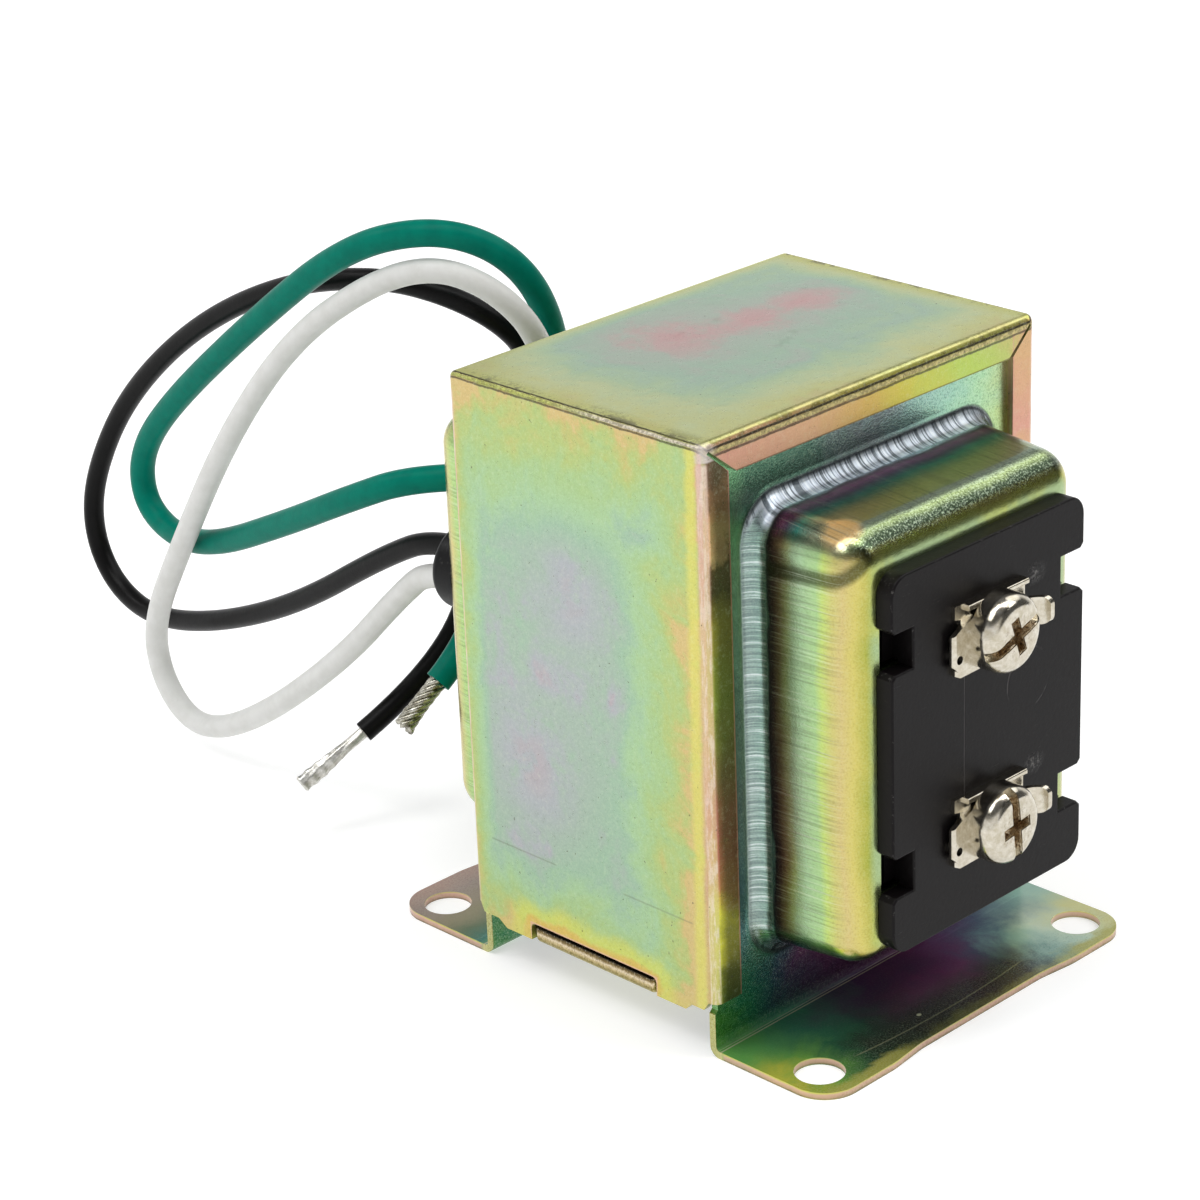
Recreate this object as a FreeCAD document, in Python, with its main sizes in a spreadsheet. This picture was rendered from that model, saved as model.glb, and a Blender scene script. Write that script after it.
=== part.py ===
import FreeCAD, Part
import os, math
import Sketcher
from FreeCAD import Vector, Rotation, Placement

# Doorbell transformer: a foot-mounted, shell-type laminated transformer.
# X is the width of the laminations, Y the stack direction (terminal board at -Y,
# supply leads at +Y), Z is up. The feet rest on Z = 0 and the origin is the
# centre of the four foot holes. All lengths are millimetres.

doc = FreeCAD.newDocument("doorbell_transformer")
dims = doc.addObject("Spreadsheet::Sheet", "dims")

TABLE = [
    # alias, value, what it is
    ("sheet", 0.8, "thickness of every drawn or folded steel sheet"),
    ("shell_w", 49.6, "outside width of the folded shell"),
    ("shell_d", 34.8, "outside depth over the folded lips"),
    ("shell_top", 65.5, "top face above the feet"),
    ("leg_z", 4.5, "lower end of the wall legs beside the notch"),
    ("corner_z", 5.3, "lower end of the wall corners"),
    ("lip_z", 6.3, "lower end of the side lips"),
    ("notch_z", 6.5, "top of the wall notch"),
    ("notch_half", 9.05, "half length of the wall notch"),
    ("side_lip", 3.65, "width of a side lip"),
    ("top_lip", 3.7, "height of the top lip"),
    ("shell_bend", 1.0, "outside bend radius of the lips"),
    ("crown_bend", 0.55, "outside bend radius of the top's side edges"),
    ("strap_half", 8.6, "half length of the bottom strap along Y"),
    ("strap_z", 4.3, "underside of the strap beside the walls"),
    ("tab_z", 6.1, "top of the strap's upturned tabs"),
    ("core_z", 7.6, "underside of the lamination pack"),
    ("core_w", 47.5, "width of the lamination pack"),
    ("core_h", 57.0, "height of the lamination pack"),
    ("core_a", 9.5, "lamination module: limb, yoke and window width"),
    ("core_hole", 1.8, "radius of the lamination corner holes"),
    ("lam_pitch", 0.632, "pitch of the sheets"),
    ("lam_t", 0.6, "thickness of one sheet"),
    ("foot_w", 48.5, "width of a foot"),
    ("foot_y", 31.5, "reach of a foot from the middle plane"),
    ("foot_bow", 0.55, "hollow of the foot's front edge"),
    ("foot_r", 4.0, "corner radius of a foot"),
    ("hole_x", 20.4, "half spacing of the foot holes along X"),
    ("hole_y", 27.0, "half spacing of the foot holes along Y"),
    ("hole_r", 2.6, "radius of a foot hole"),
    ("dome_half", 17.75, "half width of the drawn dome at its root"),
    ("dome_lo", 9.6, "lower edge of the dome at its root"),
    ("dome_hi", 56.9, "upper edge of the dome at its root"),
    ("dome_depth", 12.8, "depth of the dome from the flange"),
    ("dome_draft", 4.0, "draft of the dome's walls in degrees"),
    ("dome_rc", 3.6, "corner radius of the dome"),
    ("dome_rt", 3.8, "nose radius of the dome"),
    ("dome_rb", 2.0, "root radius of the dome"),
    ("board_half", 14.65, "half width of the terminal board"),
    ("board_off", 0.55, "offset of the terminal board to the right"),
    ("board_lo", 12.3, "lower edge of the terminal board"),
    ("board_hi", 52.4, "upper edge of the terminal board"),
    ("board_t", 1.9, "thickness of the terminal board"),
    ("board_r", 2.2, "corner radius of the terminal board"),
    ("latch_hi", 44.5, "middle of the upper latch notches"),
    ("latch_lo", 20.75, "middle of the lower latch notches"),
    ("latch_half", 2.1, "half height of a latch notch"),
    ("latch_in", 11.0, "inner end of a latch notch along X"),
    ("screw_hi", 43.1, "height of the upper terminal screw"),
    ("screw_lo", 22.5, "height of the lower terminal screw"),
    ("head_r", 4.1, "radius of a terminal screw's head"),
    ("head_t", 2.95, "height of a terminal screw's head"),
    ("shank_r", 1.7, "radius of a terminal screw's shank"),
    ("plate_t", 0.5, "thickness of a terminal plate"),
    ("clamp_t", 0.55, "thickness of a wire clamp"),
    ("lug_r", 3.2, "outside radius of a clamp's curled lug"),
    ("bush_x", -11.2, "bushing position along X"),
    ("bush_z", 36.8, "bushing height"),
    ("bush_r", 4.9, "radius of the bushing's collar"),
    ("bush_t", 2.3, "thickness of the bushing's collar"),
    ("bush_neck", 3.9, "radius of the bushing's neck"),
    ("bore_gap", 1.9, "half spacing of the bushing's two bores"),
    ("gnd_x", -0.5, "ground screw position along X"),
    ("gnd_z", 47.9, "ground screw height"),
    ("coil_half", 14.05, "half length of the bobbin"),
    ("coil_y", 22.4, "half depth of the windings"),
    ("coil_lo", 18.2, "lower face of the windings"),
    ("coil_hi", 54.0, "upper face of the windings"),
    ("wall", 0.9, "wall of the bobbin"),
    ("black_d", 2.5, "diameter of the black lead"),
    ("white_d", 2.7, "diameter of the white lead"),
    ("green_d", 3.0, "diameter of the green lead"),
    ("core_d", 1.2, "diameter of a tinned conductor"),
]
VAL = {}
for row, (alias, value, note) in enumerate(TABLE, start=1):
    dims.set("A%d" % row, note)
    dims.set("B%d" % row, str(value))
    dims.setAlias("B%d" % row, alias)
    VAL[alias] = float(value)
doc.recompute()


class Q:
    """A dimension: its number, and the spreadsheet expression it comes from."""

    def __init__(self, t, v):
        self.t, self.v = t, v

    def __add__(self, o):
        o = q(o)
        return Q("(%s + %s)" % (self.t, o.t), self.v + o.v)

    def __radd__(self, o):
        return q(o) + self

    def __sub__(self, o):
        o = q(o)
        return Q("(%s - %s)" % (self.t, o.t), self.v - o.v)

    def __rsub__(self, o):
        return q(o) - self

    def __mul__(self, o):
        o = q(o)
        return Q("(%s * %s)" % (self.t, o.t), self.v * o.v)

    def __rmul__(self, o):
        return q(o) * self

    def __truediv__(self, o):
        o = q(o)
        return Q("(%s / %s)" % (self.t, o.t), self.v / o.v)

    def __neg__(self):
        return Q("(0 - %s)" % self.t, -self.v)


def q(x):
    return x if isinstance(x, Q) else Q("%.6f" % float(x), float(x))


def D(alias):
    return Q("dims." + alias, VAL[alias])


counter = [0]


def name_for(kind):
    counter[0] += 1
    return "%s_%03d" % (kind, counter[0])


def bind(obj, prop, value):
    value = q(value)
    obj.setExpression(prop, value.t)


# ---------------------------------------------------------------- primitives

def box(x0, x1, y0, y1, z0, z1):
    o = doc.addObject("Part::Box", name_for("box"))
    bind(o, "Length", q(x1) - x0)
    bind(o, "Width", q(y1) - y0)
    bind(o, "Height", q(z1) - z0)
    bind(o, "Placement.Base.x", x0)
    bind(o, "Placement.Base.y", y0)
    bind(o, "Placement.Base.z", z0)
    return o


AX = {"z": Rotation(), "y": Rotation(Vector(1, 0, 0), -90), "-y": Rotation(Vector(1, 0, 0), 90),
      "x": Rotation(Vector(0, 1, 0), 90), "-x": Rotation(Vector(0, 1, 0), -90)}


def cylinder(r, length, x, y, z, axis="z"):
    o = doc.addObject("Part::Cylinder", name_for("cyl"))
    o.Placement = Placement(Vector(q(x).v, q(y).v, q(z).v), AX[axis])
    bind(o, "Radius", r)
    bind(o, "Height", length)
    bind(o, "Placement.Base.x", x)
    bind(o, "Placement.Base.y", y)
    bind(o, "Placement.Base.z", z)
    return o


def fuse(*objs):
    if len(objs) == 1:
        return objs[0]
    o = doc.addObject("Part::MultiFuse", name_for("fuse"))
    o.Shapes = list(objs)
    o.Refine = True
    return o


def common(a, b):
    o = doc.addObject("Part::Common", name_for("common"))
    o.Base, o.Tool = a, b
    return o


def cut(a, *tools):
    o = doc.addObject("Part::Cut", name_for("cut"))
    o.Base, o.Tool = a, fuse(*tools)
    return o


def round_edges(base, test, r):
    """A fillet of radius r on the edges of base that pass the test."""
    doc.recompute()
    picks = [(i, r, r) for i, e in enumerate(base.Shape.Edges, start=1) if test(e)]
    if not picks:
        raise RuntimeError("no edge to round on " + base.Name)
    o = doc.addObject("Part::Fillet", name_for("fillet"))
    o.Base = base
    o.Edges = picks
    return o


def ends(e):
    return [v.Point for v in e.Vertexes]


def along(e, axis):
    p = ends(e)
    if len(p) != 2 or e.Curve.TypeId != "Part::GeomLine":
        return False
    d = (p[1] - p[0])
    d.normalize()
    return abs(getattr(d, axis)) > 0.95


def near(a, b, tol=0.02):
    return abs(a - b) < tol


# ------------------------------------------------------------- sketched bodies

def new_body():
    return doc.addObject("PartDesign::Body", name_for("Body"))


def sketch(b, role, offset=0.0):
    s = b.newObject("Sketcher::SketchObject", name_for("Sketch"))
    plane = [f for f in b.Origin.OriginFeatures if f.Role == role][0]
    s.AttachmentSupport = [(plane, "")]
    s.MapMode = "FlatFace"
    bind(s, "AttachmentOffset.Base.z", offset)
    return s


def pin(s, geo, pos, x, y):
    """Hold a sketch point at (x, y), both read from the sheet."""
    x, y = q(x), q(y)
    if abs(x.v) < 1e-9:
        s.addConstraint(Sketcher.Constraint("PointOnObject", geo, pos, -2))
    else:
        k = s.addConstraint(Sketcher.Constraint("DistanceX", -1, 1, geo, pos, x.v))
        s.setExpression("Constraints[%d]" % k, x.t)
    if abs(y.v) < 1e-9:
        s.addConstraint(Sketcher.Constraint("PointOnObject", geo, pos, -1))
    else:
        k = s.addConstraint(Sketcher.Constraint("DistanceY", -1, 1, geo, pos, y.v))
        s.setExpression("Constraints[%d]" % k, y.t)


def polygon(s, pts):
    pts = [(q(x), q(y)) for x, y in pts]
    n = len(pts)
    first = None
    for i in range(n):
        a, b = pts[i], pts[(i + 1) % n]
        g = s.addGeometry(Part.LineSegment(Vector(a[0].v, a[1].v, 0), Vector(b[0].v, b[1].v, 0)), False)
        if first is None:
            first = g
    for i in range(n):
        s.addConstraint(Sketcher.Constraint("Coincident", first + i, 2, first + (i + 1) % n, 1))
    for i in range(n):
        pin(s, first + i, 1, pts[i][0], pts[i][1])


def circle(s, x, y, r):
    x, y, r = q(x), q(y), q(r)
    g = s.addGeometry(Part.Circle(Vector(x.v, y.v, 0), Vector(0, 0, 1), r.v), False)
    pin(s, g, 3, x, y)
    k = s.addConstraint(Sketcher.Constraint("Radius", g, r.v))
    s.setExpression("Constraints[%d]" % k, r.t)


def rectangle(s, x0, x1, y0, y1):
    polygon(s, [(x0, y0), (x1, y0), (x1, y1), (x0, y1)])


def pad(b, s, length, reverse=False, taper=None):
    f = b.newObject("PartDesign::Pad", name_for("Pad"))
    f.Profile = s
    bind(f, "Length", length)
    f.Reversed = reverse
    if taper is not None:
        bind(f, "TaperAngle", taper)
    s.Visibility = False
    doc.recompute()
    return f


def pocket(b, s, length, reverse=False):
    before = b.Shape.Volume
    f = b.newObject("PartDesign::Pocket", name_for("Pocket"))
    f.Profile = s
    bind(f, "Length", length)
    f.Reversed = reverse
    doc.recompute()
    if b.Shape.Volume > before - 1e-3:
        raise RuntimeError("pocket %s cut nothing" % f.Name)
    return f


def soften(b, test, r):
    base = b.Tip
    picks = ["Edge%d" % i for i, e in enumerate(base.Shape.Edges, start=1) if test(e)]
    if not picks:
        raise RuntimeError("no edge to soften on " + b.Name)
    f = b.newObject("PartDesign::Fillet", name_for("Fillet"))
    f.Base = (base, picks)
    bind(f, "Radius", r)
    doc.recompute()
    if "Invalid" in f.State:
        raise RuntimeError("%s on %s: %s" % (f.Name, b.Name, f.getStatusString()))
    return f


NODES = []


def node(obj, label):
    obj.Label = label
    NODES.append(obj)
    return obj


sheet = D("sheet")
half_w = D("shell_w") / 2
half_d = D("shell_d") / 2
in_w = half_w - sheet                 # inside of the side walls
lip_in = half_d - sheet               # inside of the lips, outside of the bell flanges
stack_half = lip_in - sheet           # inside of the bell flanges
top_in = D("shell_top") - sheet
nose_y = lip_in + D("dome_depth")     # outer face of a dome's nose
board_y = nose_y + D("board_t")       # outer face of the terminal board

# --------------------------------------------------------------- outer shell
# One folded sheet: a top and two side walls, with lips turned in over both
# bell flanges, mitred at the corners, and a notch in each wall's lower edge.
b = new_body()
s = sketch(b, "XZ_Plane", half_d)
rectangle(s, -half_w, half_w, D("leg_z"), D("shell_top"))
pad(b, s, D("shell_d"), reverse=True)
soften(b, lambda e: along(e, "y") and near(e.BoundBox.ZMin, VAL["shell_top"]), D("crown_bend"))
soften(b, lambda e: along(e, "z") or (along(e, "x") and near(e.BoundBox.ZMin, VAL["shell_top"])), D("shell_bend"))
s = sketch(b, "XZ_Plane", lip_in)
rectangle(s, -in_w, in_w, 0.5, top_in)
pocket(b, s, lip_in * 2)
win_x = half_w - D("side_lip")
win_z = D("shell_top") - D("top_lip")
s = sketch(b, "XZ_Plane", half_d)
polygon(s, [(-win_x, 0.5), (-win_x, win_z + 0.3), (-(half_w - 0.75), D("shell_top") - 0.95),
            (-(half_w - 1.0), D("shell_top") - 0.7), (-(win_x - 1.15), win_z), (win_x - 0.7, win_z),
            (half_w - 1.0, D("shell_top") - 0.75), (half_w - 0.75, D("shell_top") - 1.0),
            (win_x, win_z + 0.05), (win_x, 0.5)])
pocket(b, s, D("shell_d"))
s = sketch(b, "YZ_Plane", half_w)
ly, lz, cz, nz, nh, gz = half_d + 0.6, D("lip_z"), D("corner_z"), D("notch_z"), D("notch_half"), D("leg_z")
polygon(s, [(-ly, 0.5), (-ly, lz), (-(lip_in - 0.3), lz), (-(lip_in - 1.0), cz), (-(nh + 4.85), cz),
            (-(nh + 4.05), gz), (-nh, gz), (-nh, nz), (nh, nz), (nh, gz), (nh + 3.75, gz), (nh + 4.95, cz),
            (lip_in - 0.4, cz), (lip_in + 0.1, lz), (ly, lz), (ly, 0.5)])
pocket(b, s, D("shell_w"))
soften(b, lambda e: along(e, "x") and near(e.BoundBox.ZMin, VAL["notch_z"]) and e.BoundBox.XLength < 2, 0.6)
node(b, "outer_shell")

# ------------------------------------------------------------- bottom strap
# A bowed strip under the laminations; its upturned ends fill the wall notches.
b = new_body()
s = sketch(b, "XZ_Plane", D("strap_half"))
sx, t0, zt = half_w, D("strap_z"), D("core_z")
polygon(s, [(-sx, D("tab_z")), (-sx, t0), (-(sx - 3.6), t0), (-(sx - 6.1), zt - sheet), (sx - 6.1, zt - sheet),
            (sx - 3.6, t0), (sx, t0), (sx, D("tab_z")), (sx - sheet, D("tab_z")), (sx - sheet, t0 + sheet),
            (sx - 3.93, t0 + sheet), (sx - 6.43, zt), (-(sx - 6.43), zt), (-(sx - 3.93), t0 + sheet),
            (-(sx - sheet), t0 + sheet), (-(sx - sheet), D("tab_z"))])
pad(b, s, D("strap_half") * 2, reverse=True)
soften(b, lambda e: along(e, "y") and near(e.BoundBox.ZMin, VAL["strap_z"]) and near(abs(e.BoundBox.XMin), VAL["shell_w"] / 2), 0.75)
soften(b, lambda e: along(e, "z") and near(abs(e.BoundBox.XMin), VAL["shell_w"] / 2), 0.5)
node(b, "bottom_strap")


# ------------------------------------------------------------------ end bells

def dome_form(side, inset, root_y, depth, corner, nose):
    """The drawn dome as a solid: a tapered block with rounded corners and nose."""
    fb = new_body()
    fs = sketch(fb, "XZ_Plane", -side * root_y)
    rectangle(fs, -(D("dome_half") - inset), D("dome_half") - inset, D("dome_lo") + inset, D("dome_hi") - inset)
    pad(fb, fs, depth, reverse=(side > 0), taper=-D("dome_draft"))
    tip = side * (q(root_y).v + q(depth).v)
    soften(fb, lambda e: e.BoundBox.YLength > 2, corner)
    soften(fb, lambda e: near(e.BoundBox.YMin, tip) and near(e.BoundBox.YMax, tip), nose)
    return fb


def end_bell(side, holes):
    """Flange, foot and drawn dome from one sheet; side is -1 for the front."""
    fb = new_body()
    fs = sketch(fb, "XZ_Plane", -side * stack_half)
    fw, iw = D("foot_w") / 2, in_w - 0.15
    polygon(fs, [(-fw, 0), (fw, 0), (fw, cz - 0.5), (iw, cz - 0.1), (iw, top_in - 0.15), (-iw, top_in - 0.15),
                 (-iw, cz - 0.1), (-fw, cz - 0.5)])
    pad(fb, fs, sheet, reverse=(side > 0))
    fs = sketch(fb, "XY_Plane", 0.0)
    fy, bow = D("foot_y"), D("foot_bow")
    polygon(fs, [(-fw, side * (stack_half + 0.1)), (fw, side * (stack_half + 0.1)), (fw, side * fy), (14.2, side * fy),
                 (9.5, side * (fy - bow)), (-9.5, side * (fy - bow)), (-14.2, side * fy), (-fw, side * fy)])
    pad(fb, fs, sheet)
    lim = VAL["foot_y"] - 0.1
    soften(fb, lambda e: along(e, "z") and abs(e.CenterOfMass.y) > lim and abs(e.CenterOfMass.x) > 20, D("foot_r"))
    soften(fb, lambda e: along(e, "z") and abs(e.CenterOfMass.y) > 30 and abs(e.CenterOfMass.x) < 15, 7.0)
    fo, fi = q(lip_in).v, q(stack_half).v
    soften(fb, lambda e: along(e, "x") and near(abs(e.CenterOfMass.y), fo) and near(e.CenterOfMass.z, VAL["sheet"]), 0.45)
    soften(fb, lambda e: along(e, "x") and near(abs(e.CenterOfMass.y), fi) and near(e.CenterOfMass.z, 0.0), 1.2)
    fs = sketch(fb, "XY_Plane", -0.5)
    for hx in (-D("hole_x"), D("hole_x")):
        circle(fs, hx, side * D("hole_y"), D("hole_r"))
    pocket(fb, fs, 3.0, reverse=True)
    outer = dome_form(side, 0.0, lip_in, D("dome_depth"), D("dome_rc"), D("dome_rt"))
    solid = fuse(fb, outer)
    # root radius where the dome leaves the flange
    w, lo, hi = VAL["dome_half"] + 0.1, VAL["dome_lo"] - 0.1, VAL["dome_hi"] + 0.1
    solid = round_edges(solid, lambda e: near(e.BoundBox.YMin, side * fo) and near(e.BoundBox.YMax, side * fo)
                        and abs(e.CenterOfMass.x) < w and lo < e.CenterOfMass.z < hi, VAL["dome_rb"])
    inner = dome_form(side, sheet, stack_half, D("dome_depth"), D("dome_rc") - sheet, D("dome_rt") - sheet)
    solid = cut(solid, inner)
    return cut(solid, *holes)


# front: a window behind the terminals, and four slots for the board's latches
holes = [box(-6.2, 6.2, -(nose_y + 1), -(nose_y - 1.5), 17.0, 48.6)]
for zc in (D("latch_lo"), D("latch_hi")):
    for sx2 in (-1, 1):
        lo_x, hi_x = (9.4, 12.7) if sx2 > 0 else (-13.7, -9.4)
        holes.append(box(lo_x, hi_x, -(nose_y + 1), -(nose_y - 1.6), zc - D("latch_half") - 0.1, zc + D("latch_half") + 0.1))
node(end_bell(-1, holes), "front_end_bell")

# rear: the bushing's hole and the ground screw's tapped hole
holes = [cylinder(D("bush_neck"), 4.0, D("bush_x"), nose_y - 2.5, D("bush_z"), "y"),
         cylinder(1.45, 4.0, D("gnd_x"), nose_y - 2.5, D("gnd_z"), "y")]
node(end_bell(1, holes), "rear_end_bell")

# -------------------------------------------------------------- terminal board
# A black moulding on the front dome, held by four latches that pass through
# the dome's slots and catch behind it.
b = new_body()
s = sketch(b, "XZ_Plane", nose_y)
bl, br = D("board_off") - D("board_half"), D("board_off") + D("board_half")
b0, b1, li, lh = D("board_lo"), D("board_hi"), D("latch_in"), D("latch_half")
pts = [(bl, b0), (br, b0)]
for zc in (D("latch_lo"), D("latch_hi")):
    pts += [(br, zc - lh - 0.5), (br - 0.5, zc - lh), (li + 0.6, zc - lh), (li + 0.6, zc + lh), (br - 0.5, zc + lh), (br, zc + lh + 0.5)]
pts += [(br, b1), (bl, b1)]
for zc in (D("latch_hi"), D("latch_lo")):
    pts += [(bl, zc + lh + 0.5), (bl + 0.5, zc + lh), (-li, zc + lh), (-li, zc - lh), (bl + 0.5, zc - lh), (bl, zc - lh - 0.5)]
polygon(s, pts)
pad(b, s, D("board_t"))
lo_b, hi_b = VAL["board_lo"], VAL["board_hi"]
soften(b, lambda e: along(e, "y") and near(abs(e.CenterOfMass.x - VAL["board_off"]), VAL["board_half"])
       and (near(e.CenterOfMass.z, lo_b) or near(e.CenterOfMass.z, hi_b)), D("board_r"))
face_y = -q(board_y).v
soften(b, lambda e: near(e.BoundBox.YMin, face_y) and near(e.BoundBox.YMax, face_y), 0.22)
s = sketch(b, "XZ_Plane", nose_y - 1.0)
for zc in (D("screw_lo"), D("screw_hi")):
    circle(s, 0, zc, 2.6)
    rectangle(s, -1.7, 1.7, zc - 3.85, zc - 2.95)
pocket(b, s, 5.0, reverse=True)
# raised middle panel: a step of a tenth of a millimetre down the left side
body_board = b
latches = []
for zc in (D("latch_lo"), D("latch_hi")):
    for sgn in (-1, 1):
        x0, x1 = (9.7, 10.9) if sgn > 0 else (-10.9, -9.7)
        latches.append(box(x0, x1, -nose_y, -(nose_y - 2.7), zc - 1.8, zc + 1.8))
        x0, x1 = (10.8, 12.3) if sgn > 0 else (-12.3, -10.8)
        latches.append(box(x0, x1, -(nose_y - 0.85), -(nose_y - 2.7), zc - 1.8, zc + 1.8))
board = fuse(body_board, *latches)
tips = q(nose_y).v - 2.7
board = round_edges(board, lambda e: along(e, "z") and near(abs(e.CenterOfMass.x), 12.3) and near(abs(e.CenterOfMass.y), tips), 1.2)
node(board, "terminal_board")


# ------------------------------------------------------------ terminal hardware

def turned(o, angle, z):
    """Turn a finished piece about a terminal screw's own axis."""
    o.Placement = Placement(Vector(0, 0, 0), Rotation(Vector(0, -1, 0), angle), Vector(0, 0, q(z).v))
    return o


for tag, zc, turn in (("upper", D("screw_hi"), 19.0), ("lower", D("screw_lo"), -83.7)):
    # plate on the board, with a tapped collar and a solder tail through it
    py = board_y + D("plate_t")
    b = new_body()
    s = sketch(b, "XZ_Plane", board_y)
    polygon(s, [(-5.45, zc - 3.4), (-4.6, zc - 3.85), (4.6, zc - 3.7), (5.0, zc - 3.3), (5.0, zc + 1.5), (5.2, zc + 1.7), (5.2, zc + 3.65),
                (-3.9, zc + 3.65), (-3.9, zc + 3.85), (-5.45, zc + 3.85), (-5.45, zc + 2.5), (-4.6, zc + 2.3), (-4.6, zc - 2.2), (-5.45, zc - 2.4)])
    pad(b, s, D("plate_t"))
    # the plate's turned-up top edge
    lip = round_edges(box(-3.9, 5.2, -(py + 0.55), -(board_y + 0.1), zc + 3.05, zc + 3.65),
                      lambda e: along(e, "x") and near(e.BoundBox.YMin, -(q(py).v + 0.55)), 0.2)
    collar = cylinder(2.55, 2.4, 0, -(board_y + 0.01), zc, "y")
    tail = fuse(box(-1.6, 1.6, -(board_y + 0.01), -(nose_y - 1.2), zc - 3.75, zc - 3.05),
                box(-1.6, 1.6, -(nose_y - 0.5), -(nose_y - 1.2), zc - 5.45, zc - 3.05),
                box(-1.6, 1.6, -(nose_y - 0.5), -(nose_y - 4.4), zc - 5.45, zc - 4.65))
    plate = cut(fuse(b, lip, collar, tail), cylinder(D("shank_r"), 8.0, 0, -(board_y + 2), zc, "y"))
    node(plate, "terminal_plate_" + tag)

    # wire clamp: flat with a clipped corner on one side, a curled lug on the other
    lr, ct = D("lug_r"), D("clamp_t")
    cy = py + lr
    ring = cut(cylinder(lr, 4.0, 3.9, -cy, zc - 2.35, "z"), cylinder(lr - ct, 5.0, 3.9, -cy, zc - 2.9, "z"))
    end_y = -(q(cy).v - 0.9)
    lug = round_edges(common(ring, box(3.9, 7.3, -(cy - 0.9), -(py - 0.01), zc - 1.25, zc + 1.65)),
                      lambda e: near(e.BoundBox.YMin, end_y) and near(e.BoundBox.YMax, end_y) and e.BoundBox.XLength > 0.3, 0.9)
    b = new_body()
    s = sketch(b, "XZ_Plane", py)
    polygon(s, [(-6.25, zc - 2.1), (-5.6, zc - 2.75), (-2.6, zc - 3.05), (2.6, zc - 3.05), (4.0, zc - 1.25), (4.0, zc + 1.65), (2.4, zc + 2.6),
                (-2.4, zc + 2.6), (-4.9, zc + 1.75), (-6.25, zc + 1.0)])
    pad(b, s, ct)
    saddle = cut(fuse(b, lug), cylinder(2.0, 4.0, 0, -(py + 2), zc, "y"), cylinder(0.45, 4.0, -5.35, -(py + 2), zc - 1.55, "y"))
    out_y = -(q(py).v + VAL["clamp_t"])
    saddle = round_edges(saddle, lambda e: near(e.BoundBox.YMin, out_y) and near(e.BoundBox.YMax, out_y) and e.CenterOfMass.x < -5.5
                         and e.BoundBox.ZLength > 0.7 and abs(e.CenterOfMass.x + 5.35) > 0.3, 0.4)
    node(saddle, "terminal_clamp_" + tag)

    # pan-head screw with a slot and a cross recess
    hy = py + ct
    head = cylinder(D("head_r"), D("head_t"), 0, -hy, zc, "-y")
    rim = -(q(hy).v + VAL["head_t"])
    head = round_edges(head, lambda e: near(e.BoundBox.YMin, rim) and near(e.BoundBox.YMax, rim), 1.5)
    shank = cylinder(D("shank_r"), 8.2, 0, -(hy + 0.3), zc, "y")
    slot = box(-4.2, 4.2, -(hy + D("head_t") + 0.5), -(hy + D("head_t") - 1.15), zc - 0.55, zc + 0.55)
    cross = box(-0.6, 0.6, -(hy + D("head_t") + 0.5), -(hy + D("head_t") - 1.5), zc - 2.0, zc + 2.0)
    well = box(-2.0, 2.0, -(hy + D("head_t") + 0.5), -(hy + D("head_t") - 1.5), zc - 0.6, zc + 0.6)
    screw = cut(fuse(head, shank), slot, cross, well)
    node(turned(screw, turn, zc), "terminal_screw_" + tag)

# ---------------------------------------------------------------- laminations
# Interleaved E and I sheets: each sheet is its own solid.
a, cw, ch, c0 = D("core_a"), D("core_w") / 2, D("core_h"), D("core_z")
eb = new_body()
s = sketch(eb, "XZ_Plane", 0.0)
polygon(s, [(-cw, c0), (cw - a, c0), (cw - a, c0 + a), (-cw + a, c0 + a), (-cw + a, c0 + 2 * a), (cw - a, c0 + 2 * a),
            (cw - a, c0 + 4 * a), (-cw + a, c0 + 4 * a), (-cw + a, c0 + 5 * a), (cw - a, c0 + 5 * a), (cw - a, c0 + ch), (-cw, c0 + ch)])
pad(eb, s, D("lam_t"))
s = sketch(eb, "XZ_Plane", -1.0)
circle(s, -cw + a / 2, c0 + a / 2, D("core_hole"))
circle(s, -cw + a / 2, c0 + ch - a / 2, D("core_hole"))
pocket(eb, s, 4.0, reverse=True)
ib = new_body()
s = sketch(ib, "XZ_Plane", 0.0)
rectangle(s, cw - a + 0.05, cw, c0, c0 + ch)
pad(ib, s, D("lam_t"))
s = sketch(ib, "XZ_Plane", -1.0)
circle(s, cw - a / 2, c0 + a / 2, D("core_hole"))
circle(s, cw - a / 2, c0 + ch - a / 2, D("core_hole"))
pocket(ib, s, 4.0, reverse=True)
doc.recompute()


def pack(profile, label):
    """Repeat one sheet through the stack, turning every second one end for end."""
    n = int(round(2 * q(stack_half).v / VAL["lam_pitch"]))
    out = []
    for i in range(n):
        sh = profile.Shape.copy()
        if i % 2:
            sh = sh.mirror(Vector(0, 0, 0), Vector(1, 0, 0))
        sh.translate(Vector(0, -q(stack_half).v + VAL["lam_pitch"] * (i + 1) - 0.016, 0))
        out.append(sh.Solids[0])
    o = doc.addObject("Part::Feature", name_for("pack"))
    o.Shape = Part.Compound(out)
    return node(o, label)


pack(eb, "e_laminations")
pack(ib, "i_laminations")

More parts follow.
